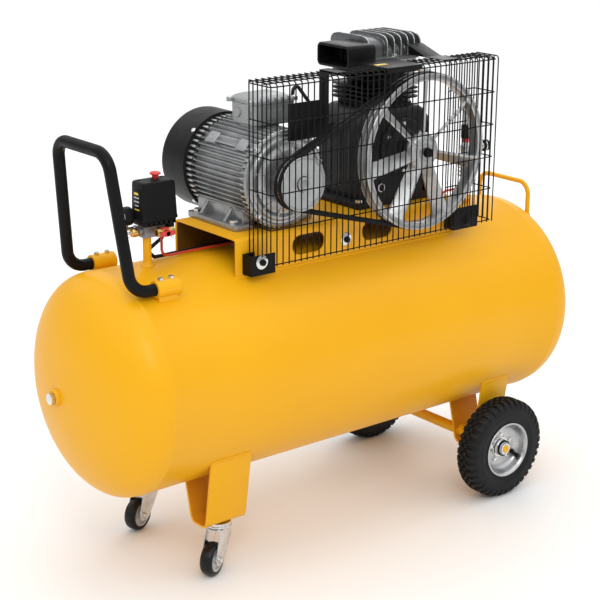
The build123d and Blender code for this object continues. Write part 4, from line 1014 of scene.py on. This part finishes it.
# ---- pump ---------------------------------------------------------------------
def make_pump():
    cx, cz = CRANK
    case = Piece(CASE_IRON, ZINC)
    case.put(block(61, 319, -81, 111, 757.2, 771, 2.2, 10))
    middle = at(cx, 15, 0)
    levels = [(206, 196, 18, 769), (210, 200, 22, 774), (210, 200, 22, 800), (206, 196, 22, 806),
              (206, 196, 22, 940), (202, 192, 24, 956), (184, 182, 24, 974), (160, 172, 22, 982),
              (150, 164, 20, 985)]
    case.put(stack([(box_loop(w, h, r), z) for w, h, r, z in levels]), middle)
    for side in (-1, 1):
        for y in (-50, -15, 20, 55, 85):
            rib = rounded([(101, 771), (104.5, 771), (104.5, 930), (101, 946)], [0, 1, 2, 0], 2)
            case.put(slab([[(cx + side * p, q) for p, q in rib]], 6, 1.0), at(0, y, 0, "-Y"))
        for px in (cx - 78, cx + 78):
            case.put(block(px - 7, px + 7, 15 + side * 99 - 1, 15 + side * 99 + 1, 776, 950, 0.8))
    for px in (73, 307):
        for y in (-67, 97):
            case.put(lathe([(5.8, 770), (15, 770), (14.4, 772), (5.8, 772)], 32, True), at(px, y, 0))
    case.build("crankcase_casting", "frame", "crankcase", 32)

    covers = Piece(CASE_IRON, ZINC)
    for out, flip in ((at(cx, -85, cz, "-Y"), False), (at(cx, 115, cz, "Y"), True)):
        bore = 0.0 if flip else 15.1
        profile = [(bore, -3), (68, -3), (68, 5.6), (66.4, 7.6), (58, 8), (46, 8), (43, 10.5), (40, 16),
                   (37, 20.6), (34, 22), (bore, 22)] if not flip else [(0, -3), (68, -3), (68, 5.6),
                                                                       (66.4, 7.4), (56, 7.9), (0, 7.9)]
        covers.put(lathe(profile, 80, not flip), out)
        for k in range(6):
            a = math.radians(60 * k + 30)
            spot = out @ at(57 * math.cos(a), 57 * math.sin(a), 5)
            covers.put(lathe([(0, 0), (10, 0), (9.4, 2.8 if not flip else 1.8),
                              (0, 2.8 if not flip else 1.8)], 24), spot)
            covers.bolt(spot @ at(0, 0, 1.8 if flip else 2.8), 10, 1.1 if flip else 4.4, slot=1)
    covers.build("bearing_covers", "frame", "crankcase_covers", 32)

    block_piece = Piece(IRON_BLACK, ZINC)
    middle = at(cx, 15, 0)
    block_piece.put(stack([(box_loop(118, 148, 14), 984.8), (box_loop(120, 148, 14), 986),
                           (box_loop(120, 148, 14), 993), (box_loop(118, 146, 14), 994.4)]), middle)
    for y in (-20, 50):
        block_piece.put(lathe([(0, 985), (39, 985), (39, 1091.8), (0, 1091.8)], 48), at(cx, y, 0))
    block_piece.put(block(cx - 30, cx + 30, -54, 84, 986, 1091, 1))
    for k in range(8):
        if k == 4:
            continue
        z = 1003.8 + 10.5 * k
        block_piece.put(slab([box_loop(169.6, 149.6, 24, steps=8)], 3.4, 1.3, 2), at(cx, 15, z))
    block_piece.put(slab([box_loop(150, 148, 18)], 8, 1), at(cx, 15, 1087.8))
    for sx, sy in CORNERS:
        block_piece.put(lathe([(0, 0), (4, 0), (4, 9), (0, 9)], 16), at(cx + sx * 50, 15 + sy * 62, 994), 1)
        block_piece.bolt(at(cx + sx * 50, 15 + sy * 62, 994.2), 12, 6, 8.5, 1.4, slot=1)
    block_piece.build("finned_cylinders", "frame", "cylinder_block", 32)

    base, top, y0, y1 = 1098.0, 1157.8, -59.0, 89.0
    head = Piece(HEAD_CAST, ZINC, CAST)
    head.put(slab([box_loop(176, 148, 26, steps=8)], 8, 1.6, 2), at(cx, 15, base + 4))

    def arch(inset, crown):
        """The side outline of a fin, rounded over at its front and back."""
        f, b = y0 + 4 + inset, y1 - 4 - inset
        return rounded([(f, base + 2), (f, crown - 6), (f + 30, crown), (b - 30, crown), (b, crown - 6),
                        (b, base + 2)],
                       [0, 26, 20, 20, 26, 0], 8)

    for px in (109.5, 166, 188, 209.5, 230.5, 251, 270.5):
        tall = top if px < 260 else top - 3
        head.put(slab([arch(0.3, tall - 0.3)], 3.6, 1.1), at(px, 0, 0, "X"))
        # a thin pale aluminium core 0.3 mm proud of each fin draws a painted highlight round its edge
        head.put(slab([arch(0, tall)], 1.6, 0.3), at(px, 0, 0, "X"), 2)
    for x0, x1, crown in ((109, 166, top - 9), (164, 272, top - 24)):
        head.put(slab([arch(7, crown)], x1 - x0, 1.0), at((x0 + x1) / 2, 0, 0, "X"))
    for px in (124, 190, 256):
        for y in (y0 + 9, y1 - 9):
            head.put(lathe([(4.4, base), (10.5, base), (10.5, base + 9.4), (9.6, base + 10),
                            (4.4, base + 10)], 28, True),
                     at(px, y, 0))
    head.put(lathe([(0, -6), (15, -6), (15, 5), (13.6, 6.6), (9.5, 6.6), (9.5, 2), (0, 2)], 36),
             at(272, 40, 1124, "X"))
    head.put(slab([box_loop(34, 30, 6)], 8, 1.2), at(272, 40, 1124, "X"))
    head.build("finned_head", "frame", "cylinder_head", 32)

    box = Piece(PLASTIC, SHADE_BLACK)
    outer = [(112, 50, 11, 20.2), (115, 53, 12, 21.6), (116, 54, 12, 24), (116, 54, 12, 60),
             (114, 53, 12, 100), (112, 52, 12, 102)]
    levels = [(box_loop(w, h, r), d) for w, h, r, d in outer]
    inner = [(box_loop(100, 38, 8), 76), (box_loop(102, 40, 8), 26), (box_loop(104, 42, 8), 20.4)]
    verts, faces = stack(levels[::-1] + inner[::-1])
    box.put((verts, faces), at(0, -30, 1119, "X"))
    for k in range(5):
        box.put(slab([box_loop(3, 38, 1)], 6, 0.6), at(66, -70 + 20 * k, 1119, "X"), 0)
    # a near-black plate at the back of the intake carries painted shade
    box.put(slab([box_loop(99, 37, 7)], 2, 0.2), at(74, -30, 1119, "X"), 1)
    for k in range(3):
        box.put(block(34 + 18 * k, 40 + 18 * k, -74, 14, 1144.8, 1145.9, 0.4))
    box.build("intake_box", "frame", "filter_housing", 34)


# ---- belt guard ---------------------------------------------------------------
def make_guard():
    x0, x1, y0, y1, z0, z1, r = -290.0, 390.0, -200.0, -120.0, 706.0, 1108.0, 1.5
    cage = Piece(WIRE_BLACK)
    count = 40
    step = (x1 - x0 - 2 * r) / count
    for i in range(count + 1):
        x = x0 + r + step * i
        low = z0 + (17 if x < x0 + 66 else 0)
        line = [(x, y0 + r, z0), (x, y0 + r, z1 - r), (x, y1 - r, z1 - r)]
        if x > 300:
            line.append((x, y1 - r, z0 + 18))
            path = bend_path(line, [7, 7], 22)
        else:
            path = bend_path(line, [7], 22)
        cage.put(tube(path, r, 8))
    for k in range(6):
        z = z0 + 3.2 + (z1 - z0 - 12) / 5 * k
        side_low = z0 + 17
        left = y1 - r if z > side_low else y0 + 3 * r
        line = [(x0 + 3 * r, left, z), (x0 + 3 * r, y0 + 3 * r, z), (x1 - 3 * r, y0 + 3 * r, z),
                (x1 - 3 * r, y1 - 3 * r, z), (301, y1 - 3 * r, z)]
        if z < side_low:
            line = [line[1], line[2], line[3]]
            path = bend_path(line, [6], 18)
        else:
            path = bend_path(line, [6, 6, 6], 18)
        cage.put(tube(path, r, 8))
    for side, low in ((x0, z0 + 17), (x1, z0 + 2)):
        x = side + (r if side < 0 else -r)
        for k in range(1, 5):
            y = y0 + 16 * k
            cage.put(tube([(x, y, low), (x, y, z1 - 2 * r)], r, 8))
    for y in (y0 + 27, y0 + 54, y1 - 3 * r):
        cage.put(tube([(x0 + r, y, z1 - 3 * r), (x1 - r, y, z1 - 3 * r)], r, 8))
    cage.put(tube([(x0 + r, y1 - r, z0 + 17), (x0 + r, y1 - r, z1 - 2 * r)], r, 8))
    cage.build("round_wire_cage", "frame", "belt_guard", 40)

    plates = Piece(BLACK, STICKER)
    plates.put(block(38, 144, y0 + 0.4, -95, z1 + 0.1, z1 + 2, 0.5, 3))
    plates.put(block(38, 144, y0 + 0.2, y0 + 1.6, z1 - 9, z1 + 1.6, 0.4))
    plates.put(slab([box_loop(34, 14, 2)], 0.5, 0.1), at(62, -150, z1 + 2.1, "Z", 0), 1)
    scoop = strip([(-61, 1131), (-125, z1 + 1.1), (-186, z1 + 1.1)], 2.0, 12.0)
    plates.put(slab([scoop], 48, 0.4), at(246, 0, 0, "X"))
    for px in (224, 268):
        gusset = rounded([(-64, z1 + 0.6), (-64, 1128), (-121, z1 + 0.6)], [0.6, 2, 0.6], 2)
        plates.put(slab([gusset], 1.8, 0.4), at(px, 0, 0, "X"))
    plates.build("guard_top_sheet", "frame", "guard_plates", 34)

    bolts = Piece(ZINC, BLACK)
    for x, y, z, tone in ((x0 + 12, -152, 706, 0), (-7, -118, 707, 0), (350, -152, 700, 1)):
        spot = at(x, y, z, "-Y")
        bolts.put(lathe([(0, 0.05), (15.6, 0.05), (16, 0.5), (16, 1.8), (15.4, 2.2), (0, 2.2)], 48), spot,
                  tone)
        bolts.bolt(spot @ at(0, 0, 2.0), 13, 5.6, 7.6, 1.4, slot=1)
    bolts.build("guard_washers", "frame", "guard_bolts", 34)


# ---- air side -----------------------------------------------------------------
PIPE_X = -478             # upright pipe under the pressure switch
TAP_X = -457
FITTING_Z = 779           # axis of the fittings


def make_air_side():
    cover = Piece(PLASTIC, STICKER, PALE)
    levels = [(86, 52, 4, 803.2), (89, 55, 5, 804.6), (89, 55, 5, 810), (88, 54, 6, 811), (84, 50, 6, 884),
              (83, 49, 7, 887.4), (79, 45, 8, 889.6), (76, 42, 8, 890)]
    cover.put(stack([(box_loop(w, h, r, -(z - 803) / 58, 0), z) for w, h, r, z in levels]),
              at(-456.5, 0, 0))
    cover.put(lathe([(4.2, 889), (13.4, 889), (13.4, 890.2), (12.4, 891.4), (8.6, 891.6), (8.0, 889.4)], 36,
                    True),
              at(-453, 0, 0))
    face = at(-501.2, 0, 846) @ rotation("Y", -2.3) @ at(0, 0, 0, "-X")
    cover.put(slab([box_loop(30, 52, 3)], 0.6, 0.1), face @ at(0, 0, -0.6), 0)
    for k, (w, h, slot) in enumerate(((16, 5, 1), (20, 2.4, 2), (20, 2.4, 2), (13, 2.4, 2), (18, 3, 1))):
        cover.put(slab([box_loop(w, h, 0.6, -2, 18 - 9 * k)], 0.5, 0.1), face @ at(0, 0, -0.2), slot)
    for sx in (-1, 1):
        cover.put(lathe([(0, 0), (5, 0), (5, 1.2), (4.4, 1.8), (0, 1.8)], 20),
                  at(-458 + sx * 30, 12, 889.4))
    cover.build("switch_hood", "frame", "switch_cover", 34)

    knob = Piece(RED)
    knob.put(lathe([(0, 872), (3.9, 872), (3.9, 894), (6.8, 894.4), (7.4, 899), (9.6, 900.6), (12.2, 901.6),
                    (12.5, 903), (12.1, 904.6), (10.4, 906.2), (6, 906.9), (0, 907)], 40), at(-453, 0, 0))
    knob.build("stop_knob", "knob", "switch_knob", 40)

    base = Piece(PLASTIC)
    base.put(block(-498, -415, -25, 25, 792.2, 803, 1.2, 5))
    for k in range(6):
        base.put(block(-490 + 13 * k, -486 + 13 * k, -25.0, -24.2, 794, 801, 0.3))
    base.build("switch_foot", "frame", "switch_base", 34)

    valve = Piece(BRASS, ZINC)
    out = at(PIPE_X, 0, FITTING_Z, "-X")
    valve.put(lathe([(0, 24), (6.6, 24), (6.6, 27.6), (10.4, 28.2), (10.4, 32), (10.2, 36), (8.4, 39.4),
                     (5, 41), (0, 41.2)],
                    40), out)
    valve.put(lathe([(0, 40), (2.9, 40), (2.9, 47.5), (3, 48), (2.4, 50), (0, 50)], 20), out, 1)
    valve.bolt(out @ at(0, 0, 25.4), 17, 5)
    ring = [(PIPE_X - 46.5, 3.0 + 6 * math.cos(a), FITTING_Z - 4 + 6 * math.sin(a))
            for a in np.linspace(0, TAU, 30, False)]
    valve.put(tube(ring, 0.8, 8, True), None, 1)
    valve.build("safety_valve_dome", "frame", "safety_valve", 34)

    gauge = Piece(PLASTIC, ZINC, DIAL, RED)
    spot = at(PIPE_X, 22, 812, "-X")
    gauge.put(lathe([(0, 28), (19, 28), (20.6, 30), (21, 33), (21, 50), (20.2, 52), (18.8, 52),
                     (18.4, 49.6), (0, 49.6)],
                    48), spot)
    gauge.put(lathe([(0, 49.4), (18.2, 49.4), (18.2, 50.2), (0, 50.2)], 48), spot, 2)
    for k in range(21):
        a = math.radians(225 - 13.5 * k)
        long = 4.0 if k % 5 == 0 else 2.2
        tick = spot @ at(0, 0, 50.25) @ Matrix.Rotation(a, 4, "Z")
        gauge.put(slab([box_loop(long, 0.7, 0.1, 16.4 - long / 2, 0)], 0.2, 0.04), tick, 3 if k > 15 else 0)
    gauge.put(slab([rounded([(-4, -1.1), (12.5, -0.3), (12.5, 0.3), (-4, 1.1)], 0.2, 2)], 0.5, 0.1),
              spot @ at(0, 0, 51) @ rotation("Z", 222), 3)
    gauge.put(lathe([(0, 50), (2.2, 50), (2, 51.6), (0, 51.6)], 20), spot, 0)
    gauge.put(lathe([(0, FITTING_Z), (4, FITTING_Z), (4, 785), (5.6, 786), (5.6, 793), (4.2, 794),
                     (4.2, 796), (0, 796)], 24),
              at(-518, 22, 0), 1)
    gauge.put(lathe([(0, 14), (4, 14), (4, 40), (0, 40)], 24), at(PIPE_X, 22, 783, "-X"), 1)
    gauge.put(block(-496, -490, 13, 26, 778, 788, 0.6), None, 1)
    gauge.build("dial_gauge", "frame", "pressure_gauge", 34)

    tap = Piece(BRASS, ZINC, RED)
    tap.put(lathe([(0, 13.5), (7, 13.5), (7, 17), (8, 18), (8, 40.6), (7.2, 41.8), (0, 41.8)], 32),
            at(TAP_X, 0, FITTING_Z, "-Y"))
    tap.put(lathe([(5.9, -17), (8.6, -17), (9.4, -16), (9.4, -9), (8.2, -8), (8.2, 12), (9.4, 13),
                   (9.4, 26), (8.6, 27), (5.9, 27)], 36, True), at(TAP_X, -32, FITTING_Z, "X"), 0)
    for k in range(10):
        a = TAU * k / 10
        tap.put(slab([box_loop(9, 2.6, 0.6)], 1.6, 0.3),
                at(-450, -32, FITTING_Z) @ Matrix.Rotation(a, 4, "X") @ at(0, 0, 8.6), 2)
    tap.put(lathe([(8.2, -6), (9.3, -6), (9.3, 11), (8.2, 11)], 36, True), at(TAP_X, -32, FITTING_Z, "X"),
            2)
    ring = [(-433, -32 + 5.5 * math.cos(a), 768 + 5.5 * math.sin(a))
            for a in np.linspace(0, TAU, 30, False)]
    tap.put(tube(ring, 0.8, 8, True), None, 1)
    tap.build("outlet_tap", "frame", "outlet_valve", 34)

    lever = Piece(RED, BRASS)
    wing = rounded([(-476, 775), (-463, 772.6), (-451, 772.6), (-438, 775), (-438, 783), (-451, 785.4),
                    (-463, 785.4), (-476, 783)], [3, 5, 5, 3, 3, 5, 5, 3], 4)
    lever.put(slab([wing], 3.8, 1.1, 2), at(0, -52, 0, "-Y"))
    lever.put(lathe([(0, 42.4), (3.9, 42.4), (3.9, 50), (6.4, 50.4), (6.4, 53.4), (5.2, 53.9), (0, 53.9)],
                    28),
              at(TAP_X, 0, FITTING_Z, "-Y"))
    lever.build("outlet_tap_lever", "valve_handle", "outlet_valve_handle", 34)


def make_outlet_line():
    x, tee = 486.0, 839.0
    foot = at(x, 0, 0)
    valve = Piece(BRASS, ZINC, BLACK)
    valve.bolt(foot @ at(0, 0, 702), 30, 20)
    valve.put(lathe([(0, 694), (12, 694), (12, 724), (11.6, 726), (11.6, 742), (12, 744), (12, 758.6),
                     (10.8, 760), (0, 760)], 40), foot)
    valve.bolt(foot @ at(0, 0, 746), 21, 10)
    valve.put(lathe([(0, 3), (6, 3), (6, 13), (5.2, 16.6), (0, 16.6)], 28), at(x, 0, 738, "-X"))
    relief = at(x, 0, tee, "X")
    valve.put(lathe([(0, 56.2), (8.6, 56.2), (9, 56.8), (9, 61.4), (8.6, 62), (0, 62)], 36), relief, 1)
    valve.put(lathe([(0, 62), (13.6, 62), (15, 63.4), (15, 72), (14.4, 76), (12.4, 79.4), (9, 81.4),
                     (5, 82), (0, 82)],
                    48), relief, 2)
    valve.put(lathe([(14.6, 64), (15.3, 64.4), (15.3, 66.6), (14.6, 67)], 48, True), relief, 1)
    valve.build("check_valve_body", "frame", "check_valve", 34)
    pipe = Piece(CAST, BLACK, RED, BRASS)
    line = bend_path([(284, 40, 1060), (330, 40, 1060), (474, 20, 1000), (x, 0, 930), (x, 0, 762)],
                     [18, 34, 40], 8)
    pipe.put(tube(line, 7.9, 24))
    pipe.put(slab([box_loop(28, 28, 6)], 9.6, 1.2), at(284, 40, 1060, "X"))
    for sy in (-1, 1):
        pipe.bolt(at(287, 40 + sy * 9, 1060 + sy * 9, "X"), 8, 3, slot=3)
    pipe.bolt(at(290, 40, 1060, "X"), 22, 12, slot=3)
    for k in range(6):
        pipe.put(lathe([(7.6, 770), (17.4, 770), (18, 770.7), (18, 772.3), (17.4, 773), (7.6, 773)], 48,
                       True),
                 foot @ at(0, 0, 10 * k))
    pipe.put(lathe([(0, tee - 9), (12.4, tee - 9), (13, tee - 8), (13, tee + 8), (12.4, tee + 9),
                    (0, tee + 9)], 40), foot)
    pipe.put(lathe([(0, 6), (5, 6), (5, 56), (0, 56)], 24), relief)
    pipe.put(lathe([(7.8, 856), (9.6, 856), (10, 857), (10, 865), (9.6, 866), (7.8, 866)], 36, True), foot,
             2)
    pipe.put(lathe([(7.8, 866), (11, 866), (12, 867.2), (12, 898), (10.6, 901), (9, 902), (7.8, 902)], 40,
                   True), foot, 1)
    for k in range(3):
        pipe.put(lathe([(11.6, 874), (12, 874.3), (12, 876.1), (11.6, 876.4)], 40, True),
                 foot @ at(0, 0, 8 * k), 1)
    pipe.build("ribbed_outlet_pipe", "frame", "discharge_pipe", 34)


def make_oil_fittings():
    fittings = Piece(PLASTIC, ZINC, SHADE_BLACK)
    glass = at(125, -84, 805, "-Y")
    fittings.bolt(glass, 22, 4.6)
    fittings.put(lathe([(8.4, -1), (10.8, -1), (10.8, 6.2), (9.8, 7), (8.4, 7)], 36, True), glass, 1)
    # a near-black disc behind the sight glass carries painted shade
    fittings.put(lathe([(0, 5.4), (8.3, 5.4), (8.3, 6.2), (0, 6.8)], 32), glass, 2)
    cap = at(85, 40, 935, "-X")
    fittings.put(lathe([(0, -6), (8, -6), (8, 5), (12.4, 5.6), (13, 7), (13, 17.6), (11.8, 19.4), (0, 20)],
                       40), cap)
    for k in range(14):
        a = TAU * k / 14
        spot = cap @ Matrix.Rotation(a, 4, "Z") @ at(12.6, 0, 12)
        fittings.put(slab([box_loop(1.0, 2.6, 0.3)], 9, 0.3), spot)
    fittings.build("oil_level_fittings", "frame", "oil_fittings", 34)


make_motor()
make_terminal_box()
make_drive()
make_pump()
make_guard()
make_air_side()
make_outlet_line()
make_oil_fittings()

KEPT = {
    "tank_plugs": ZINC, "cable_glands": PLASTIC, "caster_mounts": ZINC, "m8_screws": ZINC,
        "m10_bolts": ZINC,
    "handle_sleeves": YELLOW, "standpipe": YELLOW, "switch_manifold": ZINC_CAST, "unloader_pipe": RED_HOSE,
    "motor_cable": CABLE, "motor_stator": CORE, "ball_bearings": STEEL, "motor_rotor": STEEL,
        "crankshaft": STEEL,
    "valve_plate": STEEL, "pistons": CAST,
    "guard_brackets": BLACK,
}
for node_name, node_material in KEPT.items():
    node_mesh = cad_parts[node_name].data
    node_mesh.materials.clear()
    node_mesh.materials.append(node_material)


# ---- floor and light ----------------------------------------------------------
def make_studio():
    floor = bpy.data.meshes.new("floor")
    size = 30.0
    floor.from_pydata([(-size, -size, 0), (size, -size, 0), (size, size, 0), (-size, size, 0)], [],
                      [[0, 1, 2, 3]])
    n = Nodes("floor")
    n.link(n.ramp(n.noise(0.6, 2.0), [(0.0, (0.86, 0.86, 0.86)), (1.0, (0.89, 0.89, 0.89))]),
           n.shader.inputs["Base Color"])
    n.set(Roughness=0.9)
    floor.materials.append(n.material)
    obj = bpy.data.objects.new("floor", floor)
    bpy.context.scene.collection.objects.link(obj)
    world = bpy.data.worlds.new("studio")
    world.use_nodes = True
    tree = world.node_tree
    sky = tree.nodes.new("ShaderNodeValToRGB")
    stops = ((0.50, 0.42), (0.58, 0.46), (0.80, 1.25), (1.0, 1.35))
    for stop, level in stops:
        if stop in (0.50, 1.0):
            mark = sky.color_ramp.elements[0 if stop < 1 else -1]
            mark.position = stop
        else:
            mark = sky.color_ramp.elements.new(stop)
        mark.color = (level, level, level, 1.0)
    split = tree.nodes.new("ShaderNodeSeparateXYZ")
    raise_up = tree.nodes.new("ShaderNodeMapRange")
    raise_up.inputs["From Min"].default_value = -1.0
    tree.links.new(tree.nodes.new("ShaderNodeTexCoord").outputs["Generated"], split.inputs[0])
    tree.links.new(split.outputs["Z"], raise_up.inputs["Value"])
    tree.links.new(raise_up.outputs[0], sky.inputs[0])
    tree.links.new(sky.outputs[0], tree.nodes["Background"].inputs["Color"])
    bpy.context.scene.world = world
    lamps = (("key", (-2.2, -3.2, 3.6), (0.0, 0.0, 0.6), 1.8, 42.0),
             ("top", (0.4, 0.6, 4.2), (0, 0, 0.5), 3.4, 14.0),
             ("rim", (3.2, 2.6, 2.4), (0, 0, 0.6), 2.2, 22.0))
    for name, place, aim, width, power in lamps:
        light = bpy.data.lights.new(name, "AREA")
        light.shape = "DISK"
        light.size = width
        light.energy = power
        lamp = bpy.data.objects.new(name, light)
        lamp.location = place
        lamp.rotation_euler = (Vector(aim) - Vector(place)).to_track_quat("-Z", "Y").to_euler()
        bpy.context.scene.collection.objects.link(lamp)
    bpy.context.scene.view_settings.view_transform = "Standard"


make_studio()
